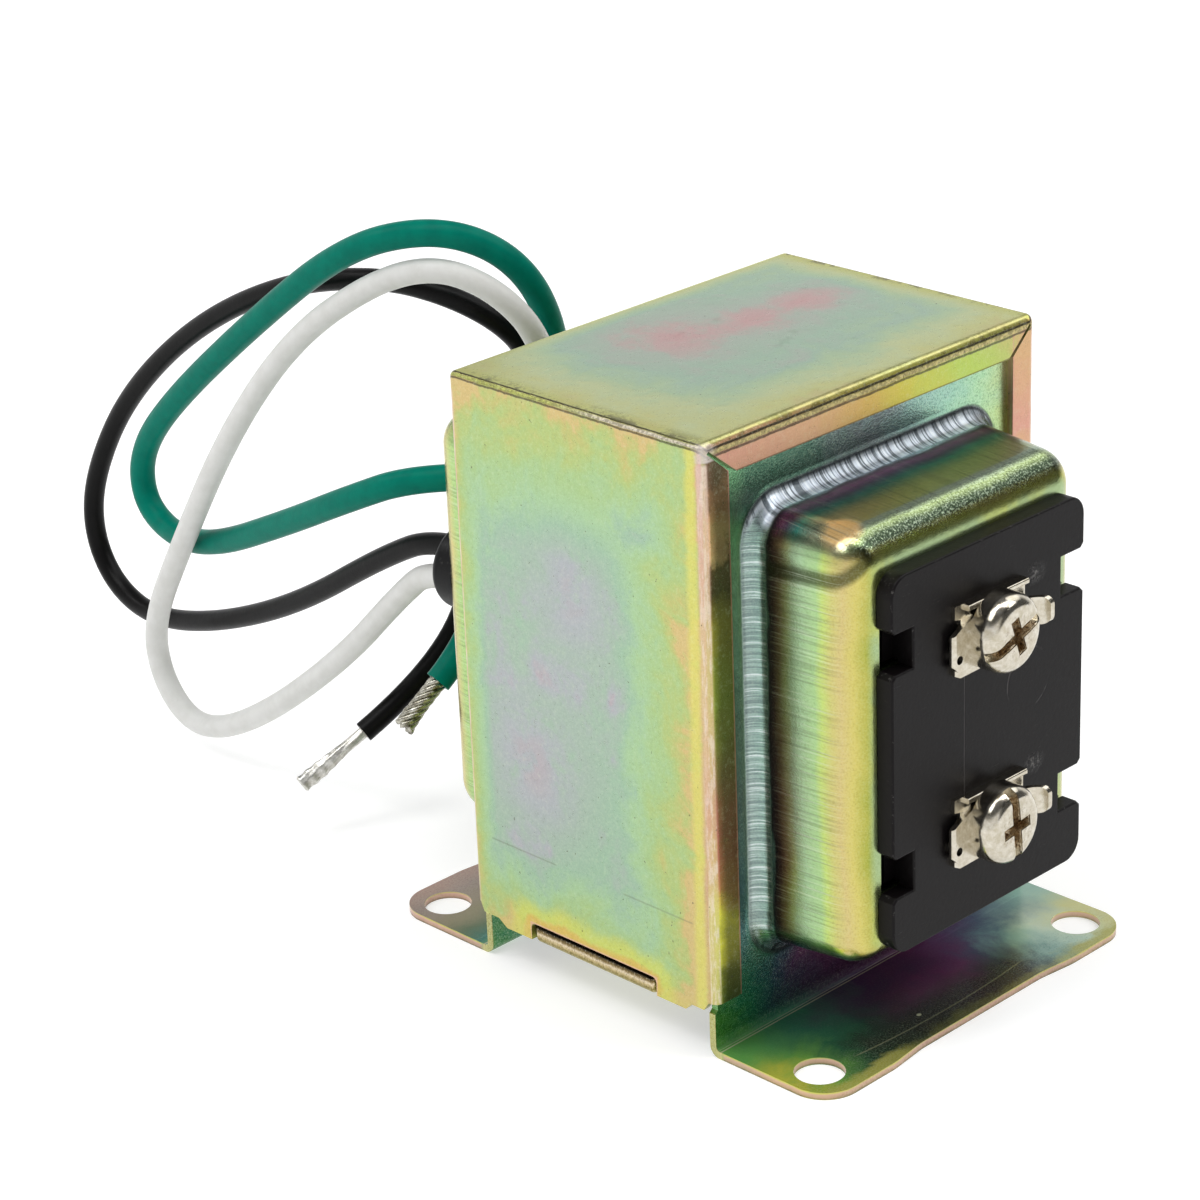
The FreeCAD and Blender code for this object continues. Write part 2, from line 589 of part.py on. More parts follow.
# --------------------------------------------------------- bobbin and windings
cz0, cz1 = c0 + 2 * a - 0.2, c0 + 4 * a + 0.2       # bore of the bobbin
by = stack_half + 0.1
wl = D("wall")
ch2 = D("coil_half")
tube = cut(box(-ch2, ch2, -(by + wl), by + wl, cz0 - wl, cz1 + wl), box(-(ch2 + 1), ch2 + 1, -by, by, cz0, cz1))
flanges = []
for x0, x1 in ((-ch2, -ch2 + wl), (-wl / 2, wl / 2), (ch2 - wl, ch2)):
    flanges.append(cut(box(x0, x1, -(D("coil_y") + 0.7), D("coil_y") + 0.7, D("coil_lo") - 0.7, D("coil_hi") + 0.7),
                       box(x0 - 1, x1 + 1, -(by + wl / 2), by + wl / 2, cz0 - wl / 2, cz1 + wl / 2)))
node(fuse(tube, *flanges), "bobbin")

for label, x0, x1, build in (("primary", -ch2 + wl, -wl / 2, 0.0), ("secondary", wl / 2, ch2 - wl, 0.4)):
    yo, zo, zi = D("coil_y") - build, D("coil_lo") + build, D("coil_hi") - build
    block = box(x0, x1, -yo, yo, zo, zi)
    core = box(x0 - 1, x1 + 1, -(by + wl), by + wl, cz0 - wl, cz1 + wl)
    ring = cut(block, core)
    ring = round_edges(ring, lambda e: along(e, "x") and abs(e.CenterOfMass.y) > 20 and abs(e.CenterOfMass.z - 36) > 15, 2.4)
    if label == "primary":
        ring = cut(ring, box(-12.1, -1.1, D("coil_y") - 3.15, D("coil_y") + 1, D("coil_hi") - 10.7, D("coil_hi") - 7.3))
    node(ring, label + "_winding")
    wrap = round_edges(box(x0, x1, -(yo + 0.25), yo + 0.25, zo - 0.25, zi + 0.25),
                       lambda e: along(e, "x"), 2.65)
    hole = round_edges(box(x0, x1, -yo, yo, zo, zi), lambda e: along(e, "x"), 2.4)
    outs = [cylinder(0.65, 3, 3.4, -(D("coil_y") + 1.5), zc - 2.1, "y") for zc in (D("screw_lo"), D("screw_hi"))] if label == "secondary" else []
    node(cut(wrap, hole, *outs), label + "_tape")

# fish-paper liners between the windings and the bells
for tag, sgn in (("front", -1), ("rear", 1)):
    y0, y1 = D("coil_y") + 0.75, D("coil_y") + 1.0
    sheet_l = box(-ch2, ch2, -y1, -y0, D("coil_lo") - 0.7, D("coil_hi") + 0.7) if sgn < 0 else box(-ch2, ch2, y0, y1, D("coil_lo") - 0.7, D("coil_hi") + 0.7)
    up = box(-ch2, ch2, -(y1 + 2.4), -y0, D("coil_hi") + 0.45, D("coil_hi") + 0.7) if sgn < 0 else box(-ch2, ch2, y0, y1 + 2.4, D("coil_hi") + 0.45, D("coil_hi") + 0.7)
    liner = fuse(sheet_l, up)
    if sgn < 0:
        holes = [cylinder(0.8, 4, 3.4, -(y1 + 1), D("screw_hi") - 2.1, "y"), cylinder(0.8, 4, 3.4, -(y1 + 1), D("screw_lo") - 2.1, "y")]
    else:
        holes = [cylinder(1.3, 4, D("bush_x"), y0 - 1, D("bush_z") + D("bore_gap"), "y"), cylinder(1.3, 4, D("bush_x"), y0 - 1, D("bush_z") - D("bore_gap"), "y")]
    node(cut(liner, *holes), "insulation_liner_" + tag)

# one-shot thermal cutoff: a small can with two tails, lying in a groove in the
# primary's outer layers, under the tape
tc_y, tc_z = D("coil_y") - 1.55, D("coil_hi") - 9.0
tc = fuse(cylinder(1.5, 7.0, -10.3, tc_y, tc_z, "x"), cylinder(1.0, 1.2, -3.3, tc_y, tc_z, "x"),
          cylinder(0.35, 1.7, -12.0, tc_y, tc_z, "x"), cylinder(0.35, 0.9, -2.1, tc_y, tc_z, "x"))
node(tc, "thermal_cutoff")


# ------------------------------------------------------------------ round runs

def rounded_path(points):
    """Straight runs joined by tangent arcs; returns the wire, the radii, the length and the end tangent."""
    pts = [Vector(*p) for p in points]
    edges, radii, length = [], [], 0.0
    start = pts[0]
    for i in range(1, len(pts) - 1):
        u = (pts[i] - pts[i - 1])
        v = (pts[i + 1] - pts[i])
        lu, lv = u.Length, v.Length
        u.normalize()
        v.normalize()
        ang = math.acos(max(-1.0, min(1.0, u.dot(v))))
        cutb = 0.45 * min(lu, lv)
        r = cutb / math.tan(ang / 2)
        p0 = pts[i] - u * cutb
        p1 = pts[i] + v * cutb
        bis = (v - u)
        bis.normalize()
        centre = pts[i] + bis * (r / math.cos(ang / 2))
        mid = centre + (pts[i] - centre).normalize() * r
        edges.append(Part.LineSegment(start, p0).toShape())
        edges.append(Part.Arc(p0, mid, p1).toShape())
        length += (p0 - start).Length + r * ang
        radii.append(round(r, 1))
        start = p1
    edges.append(Part.LineSegment(start, pts[-1]).toShape())
    length += (pts[-1] - start).Length
    return Part.Wire(edges), radii, length


def tube_solid(points, d):
    wire, radii, length = rounded_path(points)
    t0 = Vector(*points[1]) - Vector(*points[0])
    prof = Part.Wire([Part.makeCircle(d / 2.0, Vector(*points[0]), t0)])
    solid = wire.makePipeShell([prof], True, False)
    return solid, radii, length


def lead(label, points, d):
    solid, radii, length = tube_solid(points, d)
    o = doc.addObject("Part::Feature", name_for("lead"))
    o.Shape = solid
    want = math.pi * d * d / 4 * length
    print("%s: length %.1f, radii %s, volume %.2f against %.2f" % (label, length, radii, solid.Volume, want))
    if abs(solid.Volume - want) > 0.005 * want:
        raise RuntimeError(label + " has the wrong volume")
    return node(o, label)


# --------------------------------------------------- bushing, splices and leads
neck, r_b, r_w = D("bush_neck"), D("black_d") / 2, D("white_d") / 2
bx, bz = D("bush_x"), D("bush_z")
collar = cylinder(D("bush_r"), D("bush_t"), bx, nose_y, bz, "y")
rim = q(nose_y).v + VAL["bush_t"]
collar = round_edges(collar, lambda e: near(e.BoundBox.YMin, rim) and near(e.BoundBox.YMax, rim), 0.9)
# a skirt under the collar's outer side follows the bell's rounded nose
skirt = cut(common(cylinder(D("bush_r"), 1.1, bx, nose_y - 1.1, bz, "y"), box(-16.2, -13.31, nose_y - 1.2, nose_y + 0.1, 30, 44)),
            cylinder(D("dome_rt") + 0.01, 20.0, -13.31, nose_y - D("dome_rt"), 27.0, "z"))
collar = fuse(collar, skirt)
body_n = cylinder(neck, 1.0, bx, nose_y - 0.9, bz, "y")
barb = common(cylinder(neck + 0.5, 0.8, bx, nose_y - 1.7, bz, "y"), box(-13.2, -6.0, nose_y - 1.8, nose_y - 0.8, 30, 44))
bush = cut(fuse(collar, body_n, barb), cylinder(r_b + 0.08, 9, bx, nose_y - 4, bz + D("bore_gap"), "y"),
           cylinder(r_w + 0.08, 9, bx, nose_y - 4, bz - D("bore_gap"), "y"))
node(bush, "lead_bushing")

WHITE = [(-11.2, 26.4, 34.9), (-11.2, 36.6, 34.9), (-11.5, 42.0, 30.2), (-11.8, 51.5, 20.4),
         (-12.2, 64.6, 10.0), (-12.5, 74.6, 4.3), (-12.6, 81.0, 3.7), (-12.6, 85.6, 8.3),
         (-12.5, 86.3, 15.0), (-12.3, 80.4, 25.5), (-11.7, 69.6, 42.9), (-10.6, 58.1, 56.5),
         (-8.4, 46.3, 64.8), (-6.1, 38.7, 67.3), (-3.0, 33.0, 65.0), (0.9, 30.5, 59.1),
         (5.9, 33.6, 46.9), (15.0, 36.5, 25.0)]
GREEN = [(-8.3, 33.6, 45.2), (-12.2, 38.3, 45.1), (-13.4, 47.6, 40.7), (-12.1, 59.8, 34.5),
         (-9.7, 76.7, 26.5), (-7.7, 87.3, 24.5), (-7.2, 93.1, 27.5), (-7.4, 92.4, 34.1),
         (-8.0, 84.4, 42.4), (-8.9, 67.3, 55.7), (-9.1, 50.6, 67.7), (-6.1, 40.2, 71.2),
         (-1.3, 34.7, 69.2), (3.4, 32.8, 63.2), (8.3, 35.5, 52.8), (3.0, 40.4, 36.6),
         (-6.3, 35.4, 25.8), (-11.5, 36.6, 21.3)]
BLACK = [(-11.2, 26.4, 38.7), (-11.2, 35.4, 38.7), (-10.6, 45.2, 33.8), (-9.0, 62.6, 22.8),
         (-7.3, 79.9, 15.0), (-6.0, 94.5, 11.0), (-5.5, 102.9, 13.0), (-5.2, 107.0, 19.0),
         (-4.9, 105.9, 26.9), (-4.6, 98.2, 38.8), (-4.4, 84.1, 50.6), (-4.5, 67.0, 59.3),
         (-3.1, 51.9, 62.8), (-0.8, 42.6, 61.9), (3.8, 38.6, 57.8), (8.3, 39.8, 52.1),
         (10.5, 44.4, 45.5), (4.8, 48.5, 34.0), (0.8, 44.6, 19.8), (-12.0, 49.3, 11.5)]
lead("lead_white", WHITE, VAL["white_d"])
lead("lead_green", GREEN, VAL["green_d"])
lead("lead_black", BLACK, VAL["black_d"])


def bare_end(label, points, d, length, bend):
    """The stripped conductor on a lead's end, slightly bent."""
    p1, p0 = Vector(*points[-1]), Vector(*points[-2])
    u = (p1 - p0)
    u.normalize()
    mid = p1 + u * (length * 0.5)
    tip = mid + (u + Vector(*bend)).normalize() * (length * 0.5)
    solid, radii, ln = tube_solid([tuple(p1), tuple(mid), tuple(tip)], d)
    o = doc.addObject("Part::Feature", name_for("bare"))
    o.Shape = solid
    return node(o, label)


bare_end("lead_white_bare_end", WHITE, VAL["core_d"], 9.0, (0.0, 0.1, 0.05))
bare_end("lead_green_bare_end", GREEN, 2.0, 6.0, (-0.10, 0.10, -0.10))
bare_end("lead_black_bare_end", BLACK, VAL["core_d"], 9.2, (-0.05, 0.12, 0.10))

# crimped barrels where the leads meet the primary's ends
for tag, dz in (("black", D("bore_gap")), ("white", -D("bore_gap"))):
    bar = fuse(cylinder(1.15, D("sheet") + 2.0, bx, D("coil_y") + 1.2, bz + dz, "y"),
               cylinder(0.4, 1.2, bx, D("coil_y") + 0.25, bz + dz, "y"))
    node(bar, "primary_splice_" + tag)

# secondary lead-outs: from the winding through the front liner to the solder tails
for tag, zs in (("upper", D("screw_hi").v), ("lower", D("screw_lo").v)):
    yc = VAL["coil_y"]
    pts = [(3.4, -(yc - 0.4), zs - 2.1), (3.4, -(yc + 2.0), zs - 2.1), (2.4, -(yc + 2.9), zs - 3.6), (-0.4, -(yc + 3.3), zs - 4.15)]
    solid, radii, ln = tube_solid(pts, 1.0)
    o = doc.addObject("Part::Feature", name_for("leadout"))
    o.Shape = solid
    node(o, "secondary_leadout_" + tag)

# ------------------------------------------------------------- ground terminal
gx, gz = D("gnd_x"), D("gnd_z")
gy = nose_y
g0, g1 = Vector(*GREEN[0]), Vector(*GREEN[1])
out = g1 - g0
out.normalize()
start = g0 - out * 4.7
barrel = doc.addObject("Part::Cylinder", name_for("cyl"))
bind(barrel, "Radius", 2.1)
bind(barrel, "Height", 4.7)
barrel.Placement = Placement(start, Rotation(Vector(0, 0, 1), out))
ring = cut(fuse(cylinder(3.3, sheet, gx, gy, gz, "y"), box(start.x - 0.4, gx, gy, gy + sheet, gz - 1.7, gz + 1.7), barrel,
                cylinder(1.7, sheet, start.x - 0.4, gy, gz, "y")),
           cylinder(1.9, 3.0, gx, gy - 1, gz, "y"), box(-25, 5, gy - 6, gy, gz - 9, gz + 9))
node(ring, "ground_ring_terminal")
washer = cut(cylinder(3.1, 0.7, gx, gy + 0.8, gz, "y"), cylinder(1.8, 3.0, gx, gy, gz, "y"),
             box(gx - 0.3, gx + 0.3, gy, gy + 2, gz + 1, gz + 4))
node(washer, "ground_lock_washer")
gh = cylinder(2.9, 1.9, gx, gy + 1.5, gz, "y")
rim_g = q(gy).v + 3.4
gh = round_edges(gh, lambda e: near(e.BoundBox.YMin, rim_g) and near(e.BoundBox.YMax, rim_g), 0.8)
gs = cut(fuse(gh, cylinder(1.45, 5.2, gx, gy - 3.4, gz, "y")),
         box(gx - 0.45, gx + 0.45, gy + 2.5, gy + 4, gz - 2.0, gz + 2.0),
         box(gx - 2.0, gx + 2.0, gy + 2.5, gy + 4, gz - 0.45, gz + 0.45))
node(gs, "ground_screw")

# ------------------------------------------------------------------- write out
doc.recompute()
bad = []
for o in doc.Objects:
    if "Invalid" in o.State or "Error" in o.State:
        bad.append(o.Name + " " + o.Label)
for o in NODES:
    if o.Shape.isNull() or not o.Shape.isValid() or not o.Shape.Solids:
        bad.append("shape of " + o.Label)
if bad:
    raise RuntimeError("failed: " + ", ".join(bad))
os.makedirs("parts", exist_ok=True)
total = 0.0
for o in NODES:
    sh = o.Shape
    total += sh.Volume
    bb = sh.BoundBox
    print("%-26s solids %3d vol %9.1f  x %.2f..%.2f y %.2f..%.2f z %.2f..%.2f" % (
        o.Label, len(sh.Solids), sh.Volume, bb.XMin, bb.XMax, bb.YMin, bb.YMax, bb.ZMin, bb.ZMax))
    sh.exportStep("parts/%s.step" % o.Label)
print("nodes", len(NODES), "volume", round(total, 1))
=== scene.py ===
"""Looks of the doorbell transformer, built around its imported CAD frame. Metres, Z up."""

import math
import bpy
import bmesh
from mathutils import Matrix, Vector


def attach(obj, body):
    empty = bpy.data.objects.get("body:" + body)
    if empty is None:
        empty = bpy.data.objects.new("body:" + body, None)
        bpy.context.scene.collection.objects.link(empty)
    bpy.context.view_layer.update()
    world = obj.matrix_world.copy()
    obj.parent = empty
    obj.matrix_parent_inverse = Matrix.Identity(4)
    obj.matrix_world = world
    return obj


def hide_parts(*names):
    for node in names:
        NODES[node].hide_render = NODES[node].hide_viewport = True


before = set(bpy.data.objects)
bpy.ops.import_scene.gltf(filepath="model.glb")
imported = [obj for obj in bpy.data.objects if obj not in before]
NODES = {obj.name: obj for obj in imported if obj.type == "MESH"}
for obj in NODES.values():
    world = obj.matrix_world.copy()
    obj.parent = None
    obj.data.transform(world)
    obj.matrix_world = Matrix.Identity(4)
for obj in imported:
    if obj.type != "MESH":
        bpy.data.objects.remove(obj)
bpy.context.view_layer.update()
MM = 0.001
scene = bpy.context.scene

# ------------------------------------------------------------------ colour and view
scene.view_settings.view_transform = "Standard"
scene.view_settings.look = "None"
scene.view_settings.exposure = 0.0
scene.view_settings.gamma = 1.0


def lin(r, g, b):
    """sRGB 0..255 to linear."""
    out = []
    for c in (r, g, b):
        c = c / 255.0
        out.append(c / 12.92 if c <= 0.04045 else ((c + 0.055) / 1.055) ** 2.4)
    return tuple(out)


# ------------------------------------------------------------------ node helpers
class Mat:
    """A small builder for procedural materials on frame coordinates (millimetres)."""

    def __init__(self, name):
        self.m = bpy.data.materials.new(name)
        self.m.use_nodes = True
        self.t = self.m.node_tree
        self.t.nodes.clear()
        self.out = self.n("ShaderNodeOutputMaterial")
        self.b = self.n("ShaderNodeBsdfPrincipled")
        self.link(self.b.outputs[0], self.out.inputs[0])
        tc = self.n("ShaderNodeTexCoord")
        sc = self.n("ShaderNodeVectorMath")
        sc.operation = "SCALE"
        sc.inputs["Scale"].default_value = 1000.0
        self.link(tc.outputs["Object"], sc.inputs[0])
        self.pos = sc.outputs[0]
        sep = self.n("ShaderNodeSeparateXYZ")
        self.link(self.pos, sep.inputs[0])
        self.x, self.y, self.z = sep.outputs
        geo = self.n("ShaderNodeNewGeometry")
        nrm = self.n("ShaderNodeSeparateXYZ")
        self.link(geo.outputs["Normal"], nrm.inputs[0])
        self.nx, self.ny, self.nz = nrm.outputs

    def n(self, kind):
        return self.t.nodes.new(kind)

    def link(self, a, b):
        self.t.links.new(a, b)

    def _in(self, sock, v):
        if isinstance(v, bpy.types.NodeSocket):
            self.link(v, sock)
        elif v is not None:
            sock.default_value = v

    def math(self, op, a, b=None, c=None, clamp=False):
        n = self.n("ShaderNodeMath")
        n.operation = op
        n.use_clamp = clamp
        self._in(n.inputs[0], a)
        if b is not None:
            self._in(n.inputs[1], b)
        if c is not None:
            self._in(n.inputs[2], c)
        return n.outputs[0]

    def add(self, a, b):
        return self.math("ADD", a, b)

    def sub(self, a, b):
        return self.math("SUBTRACT", a, b)

    def mul(self, a, b):
        return self.math("MULTIPLY", a, b)

    def step(self, v, lo, hi):
        """0 below lo, 1 above hi, smooth between (lo may be the larger)."""
        n = self.n("ShaderNodeMapRange")
        n.interpolation_type = "SMOOTHSTEP"
        self._in(n.inputs[0], v)
        n.inputs[1].default_value = min(lo, hi)
        n.inputs[2].default_value = max(lo, hi)
        n.inputs[3].default_value = 0.0 if lo < hi else 1.0
        n.inputs[4].default_value = 1.0 if lo < hi else 0.0
        return n.outputs[0]

    def band(self, v, c, w, soft):
        """1 within w of c, fading to 0 over soft."""
        d = self.math("ABSOLUTE", self.sub(v, c))
        return self.step(d, w + soft, w)

    def noise(self, scale=(1, 1, 1), detail=3.0, rough=0.5, seed=0.0, distort=0.0, vec=None):
        m = self.n("ShaderNodeMapping")
        m.inputs["Scale"].default_value = scale
        m.inputs["Location"].default_value = (seed * 17.3, seed * 5.1, -seed * 9.7)
        self.link(vec or self.pos, m.inputs[0])
        n = self.n("ShaderNodeTexNoise")
        n.inputs["Scale"].default_value = 1.0
        n.inputs["Detail"].default_value = detail
        n.inputs["Roughness"].default_value = rough
        n.inputs["Distortion"].default_value = distort
        self.link(m.outputs[0], n.inputs["Vector"])
        return n.outputs["Fac"]

    def mix(self, fac, a, b, mode="MIX"):
        n = self.n("ShaderNodeMix")
        n.data_type = "RGBA"
        n.blend_type = mode
        n.clamp_factor = True
        self._in(n.inputs[0], fac)
        for sock, v in ((n.inputs[6], a), (n.inputs[7], b)):
            if isinstance(v, tuple):
                sock.default_value = (v[0], v[1], v[2], 1.0)
            else:
                self.link(v, sock)
        return n.outputs[2]

    def new_mix(self, fac, a, b):
        """Mixes two numbers."""
        n = self.n("ShaderNodeMix")
        n.data_type = "FLOAT"
        n.clamp_factor = True
        self._in(n.inputs[0], fac)
        self._in(n.inputs[2], a)
        self._in(n.inputs[3], b)
        return n.outputs[0]

    def ramp(self, v, stops, mode="LINEAR"):
        n = self.n("ShaderNodeValToRGB")
        n.color_ramp.interpolation = mode
        e = n.color_ramp.elements
        while len(e) > 1:
            e.remove(e[-1])
        e[0].position = stops[0][0]
        c = stops[0][1]
        e[0].color = (c[0], c[1], c[2], 1.0)
        for p, c in stops[1:]:
            k = e.new(p)
            k.color = (c[0], c[1], c[2], 1.0)
        self._in(n.inputs[0], v)
        return n.outputs[0]

    def bump(self, height, strength, dist, normal=None):
        n = self.n("ShaderNodeBump")
        n.inputs["Strength"].default_value = strength
        n.inputs["Distance"].default_value = dist
        self._in(n.inputs["Height"], height)
        if normal is not None:
            self.link(normal, n.inputs["Normal"])
        return n.outputs[0]

    def set(self, **kw):
        names = {"color": "Base Color", "metal": "Metallic", "rough": "Roughness", "normal": "Normal", "ior": "IOR",
                 "coat": "Coat Weight", "coat_rough": "Coat Roughness", "spec": "Specular IOR Level",
                 "aniso": "Anisotropic", "sss": "Subsurface Weight"}
        for k, v in kw.items():
            s = self.b.inputs[names[k]]
            if isinstance(v, tuple):
                s.default_value = (v[0], v[1], v[2], 1.0)
            elif isinstance(v, bpy.types.NodeSocket):
                self.link(v, s)
            else:
                s.default_value = v
        return self


def dress(node, mat):
    """Gives a CAD node its material."""
    o = NODES[node]
    o.data.materials.clear()
    o.data.materials.append(mat.m)


# ------------------------------------------------------------------ camera
cam_data = bpy.data.cameras.new("camera")
cam_data.sensor_fit = "HORIZONTAL"
cam_data.sensor_width = 36.0
cam_data.lens = 36.0 * 3522.332 / 1200.0
cam_data.clip_start = 0.01
cam_data.clip_end = 50.0
cam = bpy.data.objects.new("camera", cam_data)
scene.collection.objects.link(cam)
right = Vector((0.70523, -0.707954, -0.038092))
up = Vector((0.301339, 0.250679, 0.919976))
back = Vector((-0.641752, -0.660273, 0.390121))
cam.matrix_world = Matrix((
    (right.x, up.x, back.x, -0.244848), (right.y, up.y, back.y, -0.229586), (right.z, up.z, back.z, 0.180058), (0, 0, 0, 1)))
scene.camera = cam

# ------------------------------------------------------------------ light and floor
world = bpy.data.worlds.new("studio")
scene.world = world
world.use_nodes = True
wt = world.node_tree
bg = wt.nodes["Background"]
wc = wt.nodes.new("ShaderNodeTexCoord")
ws = wt.nodes.new("ShaderNodeSeparateXYZ")
wr = wt.nodes.new("ShaderNodeValToRGB")
wt.links.new(wc.outputs["Generated"], ws.inputs[0])
wt.links.new(ws.outputs[2], wr.inputs[0])
wd = wt.nodes.new("ShaderNodeVectorMath")
wd.operation = "DOT_PRODUCT"
wd.inputs[1].default_value = (0.62, -0.74, 0.26)
wt.links.new(wc.outputs["Generated"], wd.inputs[0])
wm_ = wt.nodes.new("ShaderNodeMapRange")
wm_.interpolation_type = "SMOOTHSTEP"
wm_.inputs[1].default_value, wm_.inputs[2].default_value = 0.62, 0.86
wm_.inputs[3].default_value, wm_.inputs[4].default_value = 1.0, 0.10
wt.links.new(wd.outputs["Value"], wm_.inputs[0])
wx = wt.nodes.new("ShaderNodeMix")
wx.data_type = "RGBA"
wx.blend_type = "MULTIPLY"
wx.inputs[0].default_value = 1.0
wt.links.new(wr.outputs[0], wx.inputs[6])
wt.links.new(wm_.outputs[0], wx.inputs[7])
wt.links.new(wx.outputs[2], bg.inputs[0])
we = wr.color_ramp.elements
we[0].position, we[0].color = 0.0, (1.0, 1.0, 1.0, 1)
we[1].position, we[1].color = 1.0, (0.22, 0.22, 0.23, 1)
for p, c in ((0.36, 0.95), (0.50, 0.30), (0.62, 0.12)):
    k = we.new(p)
    k.color = (c, c, c * 1.01, 1)
bg.inputs[1].default_value = 1.0


def area(name, loc, target, size, power, size_y=None):
    d = bpy.data.lights.new(name, "AREA")
    d.shape = "RECTANGLE"
    d.size, d.size_y = size, size_y or size
    d.energy = power
    o = bpy.data.objects.new(name, d)
    scene.collection.objects.link(o)
    o.location = loc
    o.rotation_euler = (Vector(target) - Vector(loc)).to_track_quat("-Z", "Y").to_euler()
    return o


area("top_left", (-0.55, 0.25, 2.0), (0, 0, 0.03), 0.62, 12.2, 1.3)
area("top_right", (0.40, -0.55, 2.0), (0, 0, 0.03), 0.62, 12.2, 1.3)
area("crest", (1.10, -0.15, 1.20), (0, 0, 0.04), 1.0, 5.6, 1.0)
area("corner_left", (-0.99, 0.05, 1.62), (0, 0, 0.04), 0.80, 6.0, 0.70)
area("corner_right", (0.93, -1.08, 1.26), (0, 0, 0.04), 0.62, 5.5, 0.62)
area("edge", (-0.46, 0.80, 0.78), (0, 0, 0.05), 0.30, 1.8, 0.30)

me = bpy.data.meshes.new("floor")
me.from_pydata([(-6, -6, 0), (6, -6, 0), (6, 6, 0), (-6, 6, 0)], [], [(0, 1, 2, 3)])
floor = bpy.data.objects.new("floor", me)
scene.collection.objects.link(floor)
fm = Mat("floor")
fm.set(color=(0.62, 0.62, 0.62), rough=0.7, spec=0.1)
fm.b.inputs["Emission Color"].default_value = (1, 1, 1, 1)
fm.b.inputs["Emission Strength"].default_value = 0.50
me.materials.append(fm.m)

# ------------------------------------------------------------------ passivated zinc
def patch(m, u, v, cu, cv, ru, rv, soft, warp):
    """A soft oval patch, 1 at its middle."""
    du = m.math("DIVIDE", m.sub(u, cu), ru)
    dv = m.math("DIVIDE", m.sub(v, cv), rv)
    r = m.math("SQRT", m.add(m.mul(du, du), m.mul(dv, dv)))
    return m.step(m.add(r, warp), 1.0 + soft, 1.0 - soft)


def off_axis(m, lo=0.995, hi=0.94):
    """1 on the bends, where the surface faces along no axis."""
    ax = m.math("ABSOLUTE", m.nx)
    ay = m.math("ABSOLUTE", m.ny)
    az = m.math("ABSOLUTE", m.nz)
    return m.step(m.math("MAXIMUM", m.math("MAXIMUM", ax, ay), az), lo, hi)


def unit(m, v, a, b):
    """v mapped from a..b to 0..1."""
    return m.math("MULTIPLY", m.sub(v, a), 1.0 / (b - a), clamp=True)


